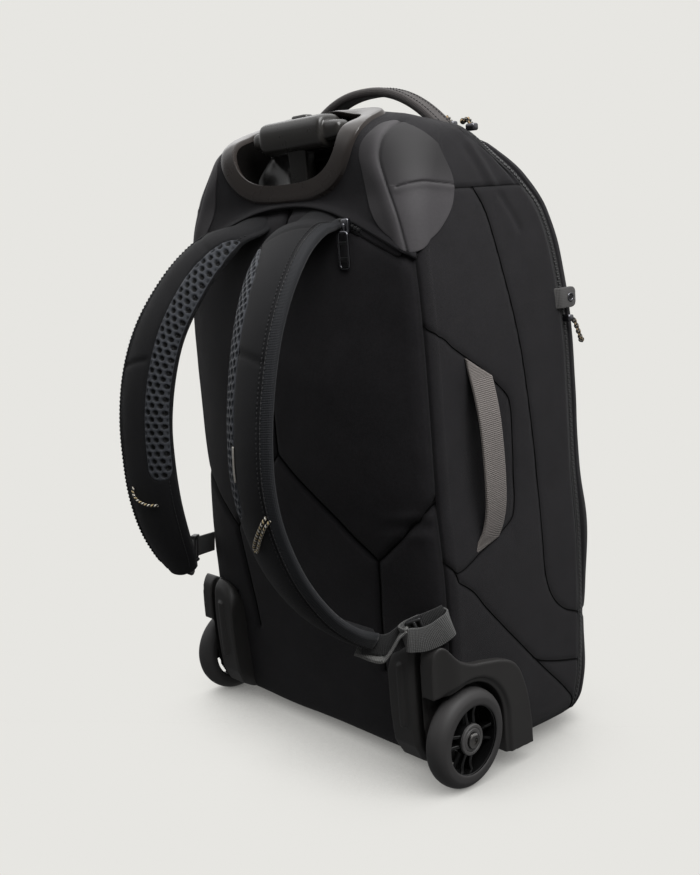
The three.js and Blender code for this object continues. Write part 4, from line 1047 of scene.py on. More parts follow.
# painted shade: the colour is darkened along the corner crease
q = add_panel(soup, P, yoke_h, mark=0.5 * np.exp(-((cr / 2.0) ** 2)), close_u=True, drop=lambda c: mouth_level(c, -3.5) < 0)
nrow, ncol = q.shape[:2]
top_ring = np.arange(ncol) + (nrow - 2) * ncol
soup.add(np.array([q[-2].mean(0)]), [], None, None)
soup.f.append(fan(top_ring, soup.n - 1))
soup.mat.append(np.zeros(len(top_ring), int))
for mi in (1, -1):
    s_, t_ = st_line("crease", 50, mi)
    seam_strip(soup, s_, t_, np.full(50, -1.7), 1.3, 0.3, 1)
soup.build("yoke_cloth", "bag", [M["yoke"], M["zip_tape"]], "top_yoke", "cloth")

# ---- front panel inside the zip
U = np.linspace(-1, 1, int(300 / 2.6))
T = np.concatenate([np.linspace(12, 500, int(488 / 2.6)), 500 + 38.2 * np.linspace(0, 1, 30)[1:] ** 0.8])
Ug, Tg = np.meshgrid(U, T)
s_edge = zip_s(0.955, Tg)
Sg = 5 - np.abs(Ug) * (5 - s_edge)
P = bag(np.where(Ug < 0, Sg, -Sg), Tg)
uvp = grid_uv(P)
lowline = np.minimum(line_distance(P, seam_points("front_low", 14)), line_distance(P, seam_points("front_low", 14, -1)))
ez = np.minimum(line_distance(P, P[::6, 0]), line_distance(P, P[::6, -1]))
front_h = 1.5 * (1 - np.exp(-lowline / 14)) + groove(lowline, 2.6, 3.4) - 0.4 + groove(ez, 1.6, 3.0) + waves(31, uvp, 140, 1.1) + waves(33, uvp, 55, 0.25)
soup = Soup()
# painted shade: the colour is darkened along the low seam
add_panel(soup, P, front_h, mark=0.55 * np.exp(-((lowline / 2.4) ** 2)))
for mi in (1, -1):
    s_, t_ = st_line("front_low", 40, mi)
    seam_strip(soup, s_, t_, np.full(40, -2.9), 1.3, 0.3, 1)
soup.build("front_panel_cloth", "bag", [M["side_cloth"], M["zip_tape"]], "front_panel", "cloth")

# ---- base
ring_s = columns(-5, 5, 14, 4.0)[:-1]
ring = bag(ring_s, np.full(len(ring_s), 12.0))
mid = ring.mean(0)
rows = []
for k, dz in ((1.0, 1.0), (0.995, -0.8), (0.975, -1.9), (0.9, -2.2), (0.7, -2.4), (0.45, -2.4), (0.2, -2.4), (0.02, -2.4)):
    q = mid + (ring - mid) * np.array([k, k, 1])
    q[:, 2] = ring[:, 2] * 0 + 12 - TL * q[:, 1] + dz
    rows.append(q)
base = np.array(rows)
soup = Soup()
faces = grid_faces(len(rows), len(ring_s), close_u=True, flip=True)
faces = faces[~hidden_by_housing(base.reshape(-1, 3)[faces].mean(1))]
soup.add(base, faces, np.stack([base[..., 0], base[..., 1]], -1))
soup.build("base_cloth", "bag", M["cloth"], "base_panel", "cloth")

# ---- smooth corner patches, with the corner crease and the shoulder seam pressed into them
mid_st = np.array([1.55, 494.0])
rr = np.concatenate([np.linspace(0, 0.93, 40), 1 - 0.07 * np.linspace(1, 0, 9)[1:]])
fine = even(PATCH_RIM * np.array([45, 1]), 200, closed=True) / np.array([45, 1])
G = mid_st + (fine[None] - mid_st) * rr[:, None, None]
P = bag(G[..., 0], G[..., 1])
Nn = bag_normal(G[..., 0], G[..., 1])
rim_pts = bag(fine[:, 0], fine[:, 1])
rim_d = line_distance(P, np.vstack([rim_pts, rim_pts[:1]])[::2])
cr = line_distance(P, seam_points("crease", 30))
cx = line_distance(P, seam_points("cross", 20))
cs_, ct_ = st_line("crease", 60)
on_back = sstep(-0.02, 0.05, np.interp(G[..., 1], ct_, cs_) - G[..., 0])
patch_h = 1.0 + groove(cr, 0.9, 1.1) + 0.45 * on_back * np.exp(-(((cr - 4) / 4) ** 2)) + groove(cx, 0.8, 1.0) + 0.35 * (G[..., 1] < 495) * np.exp(-(((cx - 3) / 2.5) ** 2)) - 0.1 * np.exp(-((rim_d / 0.5) ** 2))
q = P + Nn * patch_h[..., None]
q = np.concatenate([q, (q[-1] - Nn[-1] * 3.4)[None]])
uvq = np.concatenate([G, G[-1:]]) * np.array([45, 1])
# painted shade: darker along the crease and the cross seam, over the back part (more towards the top) and over the side
# part towards the top
mk = np.maximum(0.8 * np.exp(-((cx / 0.9) ** 2)) + 0.8 * np.exp(-((cr / 1.0) ** 2)), (0.4 + 0.2 * sstep(480, 520, G[..., 1])) * on_back * sstep(1, 11, cr))
mk = np.maximum(mk, 1.0 * (1 - on_back) * sstep(480, 515, G[..., 1]))
mk = np.concatenate([mk, mk[-1:]])
faces = grid_faces(len(q), q.shape[1], close_u=True)
f0 = q.reshape(-1, 3)[faces[len(faces) // 2]]
if np.cross(f0[1] - f0[0], f0[2] - f0[0]) @ Nn[len(q) // 2, 0] < 0:
    faces = faces[:, ::-1]
faces = faces[mouth_level(q.reshape(-1, 3)[faces].mean(1), 0) > 0]
soup = Soup()
soup.add(q, faces, uvq, mk)
soup.build("corner_patch_right_skin", "bag", M["patch"], "corner_patch_right", "patch", sharp=26)
soup.mirrored().build("corner_patch_left_skin", "bag", M["patch"], "corner_patch_left", "patch", sharp=26)


def outward(p, faces):
    """Faces turned so that a closed piece's volume is positive."""
    q = p.reshape(-1, 3) - p.reshape(-1, 3).mean(0)
    vol = 0.0
    for f in faces:
        f = np.asarray(f)
        for k in range(1, f.shape[1] - 1):
            vol += np.sum(q[f[:, 0]] * np.cross(q[f[:, k]], q[f[:, k + 1]]))
    return faces if vol > 0 else [np.asarray(f)[:, ::-1] for f in faces]


def add_loft(soup, rings, uv=None, mark=None, mat=0, cap=True):
    """Closed rings of equal count (n, m, 3) joined into a closed skin."""
    p = np.asarray(rings, float)
    n, m = p.shape[:2]
    pts = p.reshape(-1, 3)
    faces = [grid_faces(n, m, close_u=True)]
    if uv is None:
        ring = np.concatenate([[0], np.cumsum(np.linalg.norm(np.diff(p[n // 2], axis=0), axis=1))])
        along = np.concatenate([[0], np.cumsum(np.linalg.norm(np.diff(p.mean(1), axis=0), axis=1))])
        uv = np.stack(np.meshgrid(ring, along), -1)
    uvs = np.asarray(uv).reshape(-1, 2)
    mk = np.zeros(n * m) if mark is None else np.asarray(mark, float).reshape(-1)
    if cap:
        pts = np.vstack([pts, p[0].mean(0), p[-1].mean(0)])
        uvs = np.vstack([uvs, uvs[:m].mean(0), uvs[-m:].mean(0)])
        mk = np.concatenate([mk, mk[:1], mk[-1:]])
        faces += [fan(np.arange(m), n * m, flip=True), fan(np.arange(m) + (n - 1) * m, n * m + 1)]
    soup.add(pts, outward(pts, faces), uvs, mk, mat)


def add_blocks(soup, c, ax, ay, az, half, mat=0, taper=0.72):
    """Many small blocks at once: centres c and axes (n, 3); the top face is smaller by taper."""
    c = np.asarray(c, float)
    n = len(c)
    hx, hy, hz = half
    corners = []
    for z, k in ((-hz, 1.0), (hz * 0.35, 1.0), (hz, taper)):
        for sx, sy in ((-1, -1), (1, -1), (1, 1), (-1, 1)):
            corners.append(c + ax * (sx * hx * k) + ay * (sy * hy * k) + az * z)
    p = np.stack(corners, 1)
    base = np.arange(n)[:, None] * 12
    q = []
    for lay in (0, 4):
        for i in range(4):
            j = (i + 1) % 4
            q.append(np.hstack([base + lay + i, base + lay + j, base + lay + 4 + j, base + lay + 4 + i]))
    q.append(np.hstack([base + 8, base + 9, base + 10, base + 11]))
    q.append(np.hstack([base + 3, base + 2, base + 1, base]))
    soup.add(p.reshape(-1, 3), np.vstack(q), None, None, mat)


def add_zip(soup, centre, across, normal, width, tape_mat=0, teeth_mat=1, lift=0.0, pitch=2.2):
    """Zip tape with its coil: centre line, direction across and surface normal, all (n, 3)."""
    prof = np.array([(-0.5, -1.2), (-0.5, 0.25), (-0.24, 0.3), (-0.2, 0.1), (0.2, 0.1), (0.24, 0.3), (0.5, 0.25), (0.5, -1.2)])
    rings = centre[:, None] + across[:, None] * (prof[None, :, :1] * width) + normal[:, None] * (prof[None, :, 1:] + lift)
    add_loft(soup, rings, mat=tape_mat)
    d = np.concatenate([[0], np.cumsum(np.linalg.norm(np.diff(centre, axis=0), axis=1))])
    at = np.arange(pitch, d[-1] - pitch, pitch)
    f = lambda arr: np.stack([np.interp(at, d, arr[:, k]) for k in range(3)], 1)
    c, a, nn = f(centre), unit(f(across)), unit(f(normal))
    tan = np.cross(nn, a)
    side = np.where(np.arange(len(at)) % 2 == 0, 1.0, -1.0)[:, None]
    add_blocks(soup, c + nn * (lift + 0.5) + a * side * 0.55, a, tan, nn, (2.0, 0.68, 0.75), teeth_mat)


# ---- main zip round the front
def zip_path(rho):
    w = np.linspace(0, 0.87, 120)[1:]
    v = np.linspace(0.88, 0, 160)
    six = lambda c: np.maximum(0, 1 - c**6) ** (1 / 6)
    across = np.concatenate([np.ones(220), six(w), v])
    up = np.concatenate([np.zeros(220), w, six(v)])
    s = 5 - 1.83 * rho * across
    t = 440 + 103 * rho * up
    t[:220] = np.linspace(16, 440, 220)
    return np.concatenate([s, -s[-2::-1]]), np.concatenate([t, t[-2::-1]])


zc, z_in, z_out = (bag(*zip_path(r_)) for r_ in (1.0, 0.96, 1.04))
d = np.concatenate([[0], np.cumsum(np.linalg.norm(np.diff(zc, axis=0), axis=1))])
at = np.linspace(0, d[-1], 640)
zc, z_in, z_out = (np.stack([np.interp(at, d, q[:, k]) for k in range(3)], 1) for q in (zc, z_in, z_out))
za = unit(z_in - z_out)
zt = unit(np.gradient(zc, axis=0))
zn = unit(np.cross(za, zt))
zn *= np.sign(np.sum(zn * (zc - np.array([0, 20, 300])), -1, keepdims=True))
za = np.cross(zt, zn)
soup = Soup()
add_zip(soup, zc, za, zn, 13.5, lift=-1.6)
# the tape's gusset, which closes the seam under the zip
skirt = np.array([(-5.9, -2.0), (5.9, -2.0), (5.9, -15.0), (-5.9, -15.0)])
add_loft(soup, zc[:, None] + za[:, None] * skirt[None, :, :1] + zn[:, None] * skirt[None, :, 1:])
soup.build("main_zip_coil", "bag", [M["zip_tape"], M["zip_teeth"]], "main_zip", "zip")

# ---- padded shoulder straps
RING_U = np.sin(np.linspace(-1, 1, 34) * np.pi / 2)


def strap_rows(st, n=190):
    return np.concatenate([[0, 2, 5], np.linspace(8, st.length - 4, n - 6), [st.length - 2, st.length - 0.8, st.length]])


MESH_A = {"right": (62, 292), "left": (38, 270)}
MESH_U = {"right": (-0.985, -0.12), "left": (-0.985, -0.3)}


def mesh_rim(side, a, u):
    """Millimetres inside the mesh strip's outline: a long taper at the top, a round end below."""
    a0_, a1_ = MESH_A[side]
    hw_ = np.interp(a, STRAPS[side].d, STRAPS[side].hw)
    wide_ = (MESH_U[side][1] - MESH_U[side][0]) * hw_
    x_ = (u - MESH_U[side][0]) * hw_
    k_ = 1 - np.clip((a - a0_) / 70, 0, 1)
    lim = wide_ * np.sqrt(np.maximum(1 - k_**2, 0))
    r_ = wide_ * 0.5
    end = a1_ - a
    cx_ = np.abs(x_ - r_)
    low = np.where(end < r_, r_ - np.hypot(cx_, np.maximum(r_ - end, 0)), 99)
    return np.minimum(np.minimum(x_, (lim - x_) * 0.9), np.minimum(low, a - a0_))


for side in ("right", "left"):
    st = STRAPS[side]
    L = st.length
    a = strap_rows(st)
    A, U = np.meshgrid(a, np.concatenate([RING_U, RING_U[::-1][1:-1]]), indexing="ij")
    face = np.where(np.arange(A.shape[1]) < len(RING_U), 1, -1)[None] * np.ones_like(A)
    P0 = np.where((face > 0)[..., None], st.point(A, U, 0.0, 1), st.point(A, U, 0.0, -1))
    hw = np.interp(A, st.d, st.hw)
    xx = U * hw
    lift = np.zeros_like(A)
    mk = np.zeros_like(A)
    # the seam where the panel below the mesh begins, the yoke seam near the top, and soft creases; both seams are also
    # darkened in colour as painted shade
    for a0, slope, depth in ((168, 0.35, 1.4), (58, -0.2, 0.9)):
        d = np.abs(A - a0 - slope * xx)
        on = (U > -0.15) if a0 == 168 else (U > -2)
        lift += np.where(on & (face > 0), groove(d, depth, 2.4), 0)
        mk = np.maximum(mk, np.where(on & (face > 0), 0.6 * np.exp(-((d / 1.8) ** 2)), 0))
    inner = np.abs(xx + hw - 4.0)
    lift += np.where(face > 0, groove(inner, 0.8, 1.6), 0)
    lift += waves(51 if side == "right" else 53, np.stack([xx, A], -1), 70, 0.35) * np.where(face > 0, 1, 0.4)
    rim = mesh_rim(side, A, U)
    lift = np.where(face > 0, lift * (1 - sstep(0, 2, rim)) - 3.2 * sstep(0.2, 1.8, rim), lift)
    on_out = st.at(A)[2]
    P0 = P0 + on_out * (lift * np.where(face > 0, 1, -1))[..., None]
    soup = Soup()
    add_loft(soup, P0, np.stack([np.where(face > 0, xx, 200 - xx), A], -1), mk)
    # binding tape folded over the outer edge
    ab = np.linspace(20, L - 2, 220)
    hwb = np.interp(ab, st.d, st.hw)
    tape = 4.6
    rows = []
    for face_k, uu, lf in [(1, 1.0, -0.4), (1, 1.0, 0.75), (1, 0.85, 0.95), (1, 0.6, 0.95), (1, 0.3, 0.9), (1, 0.12, 0.75), (1, 0.0, 1.0), (-1, 0.0, -1.0), (-1, 0.15, -0.75), (-1, 0.5, -0.9), (-1, 1.0, -0.7), (-1, 1.0, 0.4)]:
        ue = 1 - (tape * uu) / hwb
        q = st.point(ab, ue, lf, face_k)
        if uu == 0.0:
            q = q + st.at(ab)[1] * 0.9
        rows.append(q)
    add_loft(soup, np.stack(rows, 1), mat=1)
    # sewing along the binding and along the inner edge
    s_a = np.linspace(30, L - 8, 260)
    s_hw = np.interp(s_a, st.d, st.hw)
    stitches(soup, st.point(s_a, 1 - 3.8 / s_hw, 0.95), st.normal(s_a, 1 - 3.8 / s_hw), mat=2)
    stitches(soup, st.point(s_a, 1 - 7.4 / s_hw, 0.15), st.normal(s_a, 1 - 7.4 / s_hw), mat=2)
    stitches(soup, st.point(s_a, -1 + 4.0 / s_hw, -0.5), st.normal(s_a, -1 + 4.0 / s_hw), mat=2)
    ob = soup.build("shoulder_strap_pad_" + side, "bag", [M["strap"], M["binding"], M["thread"]], "shoulder_strap_" + side, "strap")

    # the open spacer mesh let into the inner half
    a0, a1 = MESH_A[side]
    step = 0.62
    ag = np.arange(a0, a1 + step, step)
    width = (MESH_U[side][1] - MESH_U[side][0]) * 1.0
    nv_ = int(width * st.hw.max() / step) + 1
    A, Vv = np.meshgrid(ag, np.linspace(0, 1, nv_), indexing="ij")
    U = lerp(MESH_U[side][0], MESH_U[side][1], Vv)
    X = (U - MESH_U[side][0]) * np.interp(A, st.d, st.hw)
    pitch = 7.0
    rowh = pitch * 0.866
    j = np.round((A - a0 - 3) / rowh)
    best = np.full(A.shape, 1e9)
    for dj in (-1, 0, 1):
        jj = j + dj
        off = (np.abs(jj) % 2) * pitch / 2
        i = np.round((X - 3 - off) / pitch)
        for di in (-1, 0, 1):
            dx = X - 3 - off - (i + di) * pitch
            dy = A - a0 - 3 - jj * rowh
            ang = np.arctan2(dy, dx)
            best = np.minimum(best, np.hypot(dx, dy) * (1 + 0.05 * np.cos(6 * ang)))
    rim = mesh_rim(side, A, U)
    hole = (1 - sstep(1.9, 2.6, best)) * sstep(0.6, 1.6, rim)
    h = 0.9 * sstep(-0.2, 1.4, rim) - 2.2 * hole - 0.4
    P0 = st.point(A, U, 0.0, 1) + st.at(A)[2] * h[..., None]
    faces = grid_faces(*A.shape)
    keep = rim.reshape(-1)[faces].mean(1) > -0.4
    nn = grid_normals(P0)
    if np.sum(nn * st.at(A)[2]) < 0:
        faces = faces[:, ::-1]
    soup = Soup()
    # painted shade: the colour goes almost black in the mesh holes
    soup.add(P0, faces[keep], np.stack([X, A], -1), np.clip(hole * 1.1, 0, 1))
    if side == "right":
        za_ = np.linspace(290, 316, 20)
        tc_ = strap_spot("right", np.full(20, 76.0), za_, 0.7)
        sweep(soup, tc_, (1.0, -0.2, 0.0), rounded(0.9, 0.5, 0.4, 3), 1)
    soup.build("strap_mesh_" + side, "bag", [M["mesh"], M["reflect"]], (), "strap")

# ---- webbing from the strap ends to the back corners, with ladder buckles
WEB = {
    "right": [(123, -106, 148), (131, -98.5, 153), (140, -91.5, 157), (151, -80.5, 160)],
    "left": [(105, -142, 180), (118, -125, 179), (131, -109, 176), (150, -80.5, 169)],
}
UP = np.array([0, 0.1, 1.0])
for side in ("right", "left"):
    m = 1 if side == "right" else -1
    st = STRAPS[side]
    pts = np.array(WEB[side], float) * np.array([m, 1, 1])
    mid = (pts[1] + pts[2]) / 2
    direc = unit(pts[2] - pts[1])
    upv = unit(UP - direc * (UP @ direc))
    nor = unit(np.cross(direc, upv))
    nor = nor * np.sign(nor @ np.array([0, -1, 0]))
    soup = Soup()
    end_c, end_w, end_o, _ = st.at(st.length)
    if side == "right":
        # the band on edge from the strap's tip to the corner seam, in the darker webbing copy as painted shade
        c = even([(109, -126, 142.5), (115.1, -119.4, 141.5), (120.7, -112.8, 139.7), (126, -106.6, 141.4), (129.8, -102.2, 144.9), (134.2, -97.1, 149.3), (140.6, -89.6, 153.4), (144.8, -84.6, 155.3), (151.2, -77.1, 158.6), (154.2, -73.5, 160.4)], 120)
        sweep(soup, c, (0, 0.1, 1.0), rounded(8.5, 0.9, 0.7, 3), 1)
        # the loop through the buckle
        c = even([(141, -87, 152.5), (136, -93.6, 149.5), (133, -98.6, 147.6), (133.4, -103.0, 146.2), (138.6, -104.6, 145.5), (143.2, -99.6, 144.6), (148.4, -93, 144.8), (154.5, -85.2, 148.0), (158.6, -79.4, 152.2), (159.4, -75.6, 154.0), (156.8, -72.4, 155.0), (151, -71, 156)], 160)
        sweep(soup, c, (-0.2, -0.2, 1.0), rounded(10.2, 0.9, 0.7, 3))
        # the tail that drops out of the buckle and ends in a folded hem under the strap's tip, in the lighter webbing
        # copy as painted light against the strap's shade
        w_tail = unit((-0.52, 0.855, 0.22))
        c = even([(101.1, -124.3, 134.6), (104.9, -122, 133.1), (109.7, -119.1, 130.9), (116.6, -114.9, 128.6), (120.8, -112.3, 129.2), (124.6, -109.6, 134.4), (128.5, -106.6, 141.9), (132.5, -104.2, 149.2), (137.0, -101.4, 154.2)], 120)
        sweep(soup, c, w_tail, rounded(7.6, 0.85, 0.7, 3), 2)
        hem = c[:50]
        nh = np.cross(unit(np.gradient(hem, axis=0)), w_tail)
        nh = nh * np.sign(nh[:, 2:3])
        sweep(soup, hem + nh * 1.55, w_tail, rounded(7.5, 0.8, 0.6, 3), 2)
    else:
        tabs = np.array([st.point(st.length - 20, 0.0, -5.0), st.point(st.length - 8, 0.0, -5.0), end_c - end_o * 1.0 + unit(end_c - st.at(st.length - 10)[0]) * 6, pts[0] + nor * 1.0, pts[1], mid, pts[2], pts[3] + (pts[3] - pts[2]) * 0.25])
        k = np.linspace(0, 1, 120)[:, None]
        wdir = unit(lerp(end_w * m, upv, sstep(0.1, 0.5, k)))
        if np.sum(wdir[0] * upv) < 0:
            wdir = unit(lerp(-end_w * m, upv, sstep(0.1, 0.5, k)))
        sweep(soup, even(tabs, 120), wdir, rounded(9.4, 1.0, 0.8, 3))
    # the left band is all in the darker webbing copy: painted shade
    soup.build("strap_webbing_band_" + side, "bag", [M["webbing"], M["webbing_shaded_copy"], M["webbing_lightened_copy"]] if side == "right" else M["webbing_shaded_copy"], "strap_webbing_" + side, "webbing")
    # ladder buckle: two long bars and three rungs
    soup = Soup()
    tall = 11.4 if side == "left" else 8.2
    if side == "right":
        mid = mid + np.array([5.0, 1.2, -4.5])
    for sgn in (-1, 1):
        box_round(soup, mid + upv * sgn * tall, (direc, nor, upv), (6.5, 3.2, 1.5), 1.2)
    for d0, n0 in ((-5.0, -0.6), (0.4, 2.2), (5.0, -0.6)):
        q = mid + direc * d0 + nor * n0
        box_round(soup, q, (direc, nor, upv), (1.3, 1.4, tall), 0.9)
    soup.build("ladder_buckle_frame_" + side, "bag", M["buckle"], "ladder_buckle_" + side, "gloss_black")

# ---- top carry handle
x = np.linspace(-95, 95, 150)
c = np.stack([x, np.full_like(x, 37.0), 580.5 - 47.5 * np.abs(x / 95) ** 2.25], 1)
soup = Soup()
sweep(soup, c, (0, 1, 0), rounded(9.0, 3.4, 3.0, 6))
for sg in (-1, 1):
    edge = c + np.array([0, sg * 8.0, 0]) + unit(np.cross(np.gradient(c, axis=0), (0, 1, 0))) * 0.0
    sweep(soup, edge, (0, 1, 0), circle(2.0, 8) * np.array([1, 1.9]), 1)
    tn = unit(np.gradient(c, axis=0))
    up_n = np.cross(tn, np.array([0, 1.0, 0]))
    up_n *= np.sign(up_n[:, 2:3])
    stitches(soup, c[6:-6] + np.array([0, sg * 5.4, 0]) + up_n[6:-6] * 3.5, up_n[6:-6], mat=2)
soup.build("top_handle_web", "bag", [M["top_web"], M["top_web"], M["thread"]], "top_handle", "strap")

# ---- side handle
rows = np.array([(152.8, -19.6, 374), (153.4, -19.0, 362), (155.0, -18.4, 350), (158.5, -17.9, 335), (163, -17.6, 310), (165, -17.4, 282), (165, -16.7, 254), (163, -15.6, 234), (159.5, -16.2, 218), (155.5, -19.5, 205), (153.0, -25.5, 192)], float)
c = even(rows, 240)
soup = Soup()
tan, wide, thick = sweep_frames(c, np.broadcast_to(np.array([0, 1, 0.1]), c.shape))
sec = rounded(12.8, 1.4, 1.1, 4)
across = np.linspace(-11.4, 11.4, 21)[1:-1]
sec = np.vstack([sec[:10], np.stack([across[::-1], np.full(19, 1.4)], 1), sec[10:], np.stack([across, np.full(19, -1.4)], 1)])
rings = c[:, None] + wide[:, None] * sec[None, :, :1] + thick[:, None] * sec[None, :, 1:]
past = np.maximum((rings[..., 2] - 359.8 + 0.653 * (rings[..., 1] + 32.2)) * 0.837, (199.8 + 0.273 * (rings[..., 1] + 31) - rings[..., 2]) * 0.965)
rings[..., 0] -= 16 * sstep(-0.5, 2.5, past)
add_loft(soup, rings)
soup.build("side_handle_web", "bag", M["handle_web"], "side_handle", "grey_webbing")

# ---- trolley handle cup
def plan_back(x, z):
    a_, yb, yf, rb, rf = np.moveaxis(PLAN(z), -1, 0)
    ax = np.abs(x)
    in_corner = np.clip((ax - (a_ - rb)) / rb, 0, 1)
    y = yb + rb * (1 - np.sqrt(np.maximum(0, 1 - in_corner**2)))
    y = y - 31.5 * DOME(z)[..., 0] * np.maximum(0, 1 - (x / (a_ - 4)) ** 2)
    return np.where((ax > a_) | (z > 560), 1e3, y)


def mouth_surface(x, w):
    lo, hi = np.full(x.shape, 340.0), np.full(x.shape, 450.0)
    for _ in range(36):
        n_ = (lo + hi) / 2
        y = w * E_W[1] + n_ * E_N[1]
        z = w * E_W[2] + n_ * E_N[2]
        inside = y > plan_back(x, z)
        lo, hi = np.where(inside, n_, lo), np.where(inside, hi, n_)
    return (lo + hi) / 2


def rim_outline(g, n=200):
    """The cup's outline: g 0 at its outer edge, 1 at its inner edge."""
    hx, lo, wm, hi, p_ = (lerp(a_, b_, g) for a_, b_ in zip(MOUTH["outer"], MOUTH["inner"]))
    an = np.arange(720) * 2 * np.pi / 720
    f = lambda v: np.sign(v) * np.abs(v) ** (2 / p_)
    q = np.stack([hx * f(np.sin(an)), wm - np.where(np.cos(an) > 0, wm - lo, hi - wm) * f(np.cos(an))], 1)
    q = np.vstack([q, q[:1]])
    d = np.concatenate([[0], np.cumsum(np.linalg.norm(np.diff(q, axis=0), axis=1))])
    at = np.linspace(0, d[-1], n, endpoint=False)
    return np.stack([np.interp(at, d, q[:, k]) for k in range(2)], 1)


def mouth_world(x, w, n_):
    return np.stack([x, w * E_W[1] + n_ * E_N[1], w * E_W[2] + n_ * E_N[2]], -1)


rings = []
for g_, up in ((-0.05, -4.5), (-0.012, -1.0), (-0.002, 2.0), (0.012, 2.8), (0.035, 3.1), (0.3, 3.2), (0.5, 3.2), (0.7, 3.2), (0.93, 2.9), (0.97, 2.2), (0.99, 0.8), (1.01, -2.0)):
    o = rim_outline(g_)
    up = up - 5.5 * g_ * sstep(338, 366, o[:, 1]) * sstep(30, 55, np.abs(o[:, 0]))
    n_ = mouth_surface(o[:, 0], o[:, 1])
    n_ = np.mean([np.roll(n_, k_) for k_ in range(-4, 5)], 0)
    rings.append(mouth_world(o[:, 0], o[:, 1], n_ + up))
bez = np.array(rings)
soup = Soup()
soup.add(bez, outward(bez, [grid_faces(len(bez), bez.shape[1], close_u=True)]), grid_uv(bez))
# the well below the rim, with a rounded foot, and its floor round the post hole
o = rim_outline(1.01)
lip = mouth_surface(o[:, 0], o[:, 1])
lip = np.mean([np.roll(lip, k_) for k_ in range(-4, 5)], 0) - 2.0 - 5.5 * 1.01 * sstep(338, 366, o[:, 1]) * sstep(30, 55, np.abs(o[:, 0]))
wall = [mouth_world(o[:, 0], o[:, 1], lip)]
for k_, inn in ((0.4, 1.02), (0.75, 1.03), (0.92, 1.05), (1.0, 1.1)):
    oo = rim_outline(inn)
    wall.append(mouth_world(oo[:, 0], oo[:, 1], lerp(lip, MOUTH["floor"] + 0.3, k_)))
oo = rim_outline(1.1)
cen = np.array([0.0, 333.0])
ang = np.arctan2(oo[:, 1] - cen[1], oo[:, 0])
hx_, hw_ = 14.4, 14.9
rad_hole = 1 / np.maximum(np.abs(np.cos(ang)) / hx_, np.abs(np.sin(ang)) / hw_)
hole_o = cen + np.stack([np.cos(ang), np.sin(ang)], 1) * rad_hole[:, None]
for sx_, sw_ in ((-1, -1), (-1, 1), (1, -1), (1, 1)):
    corner = cen + np.array([sx_ * hx_, sw_ * hw_])
    hole_o[np.argmin(np.linalg.norm(hole_o - corner, axis=1))] = corner
for k_ in (0.25, 0.5, 0.75, 1.0):
    q = lerp(oo, hole_o, k_)
    wall.append(mouth_world(q[:, 0], q[:, 1], np.full(len(q), MOUTH["floor"] + 0.3)))
last = wall[-1]
for dz in (1.0, 8.0):
    q = last.copy()
    q[:, 2] -= dz
    wall.append(q)
wall = np.array(wall)
wf = grid_faces(len(wall), wall.shape[1], close_u=True)
nn = np.cross(wall[6, 1] - wall[6, 0], wall[7, 0] - wall[6, 0])
soup.add(wall, wf if nn @ E_N > 0 else wf[:, ::-1], grid_uv(wall), None, 1)
soup.build("handle_cup_shell", "bag", [M["bezel"], M["cup"]], "handle_cup", "bezel", sharp=30)

# ---- trolley grip on its post
GRIP = table([(0, 13.6, 14.5), (33, 13.6, 14.5), (36.5, 13.2, 14.1), (38.5, 11.6, 12.8), (39.3, 8.8, 10), (42, 8, 9), (51, 7.2, 8.2), (53.6, 6, 7), (55, 3.6, 4.4)])
soup = Soup()
gx = np.concatenate([-np.array([55, 54.4, 53.6, 52.4, 51, 47, 42, 40, 39.3, 38.9, 38.5, 37.6, 36.5, 35, 33, 28, 20, 11, 10.4]), [0.0]])
gx = np.concatenate([gx, -gx[:-1][::-1]])
rings = []
for x_ in gx:
    hz, hy = GRIP(abs(x_))
    an = np.arange(40) * 2 * np.pi / 40
    f = lambda v_: np.sign(v_) * np.abs(v_) ** 0.66
    rings.append(np.stack([np.full(40, x_), -48 + hy * f(np.cos(an)), 545 + hz * f(np.sin(an))], 1))
add_loft(soup, np.array(rings))
# the post, flaring into the grip
rings = []
for z_, k_ in ((46, 1), (500, 1), (520, 1), (528, 1.04), (533, 1.14), (537, 1.32), (540, 1.5)):
    sec = rounded(11 * k_, 7 * k_, 3.4 * k_, 6)
    rings.append(np.stack([sec[:, 0], sec[:, 1] - 48, np.full(len(sec), z_)], 1))
add_loft(soup, np.array(rings), mat=1)
soup.build("trolley_grip_bar", "trolley_handle", [M["grip"], M["post"]], "trolley_grip", "gloss_black", sharp=45)
soup = Soup()
rings = []
for z_, k_ in ((554, 0.98), (559.2, 1.0), (560.6, 0.96), (561.3, 0.86), (561.5, 0.6)):
    sec = rounded(10 * k_, 5 * k_, 3.2 * k_, 6)
    rings.append(np.stack([sec[:, 0], sec[:, 1] - 44, np.full(len(sec), z_)], 1))
add_loft(soup, np.array(rings))
soup.build("grip_button_cap", "release_button", M["grip"], "grip_button", "gloss_black", sharp=60)
for nm in ("guide_tube", "middle_tube"):
    node = frame["nodes"][nm]
    node.data.materials.clear()
    node.data.materials.append(M["metal"])

# ---- moulded wheel housings: cut from solid, then skinned finely and eased so that every edge is round
AXLE_Y, AXLE_Z, WHEEL_X = -61.7, 49.07, 155.6


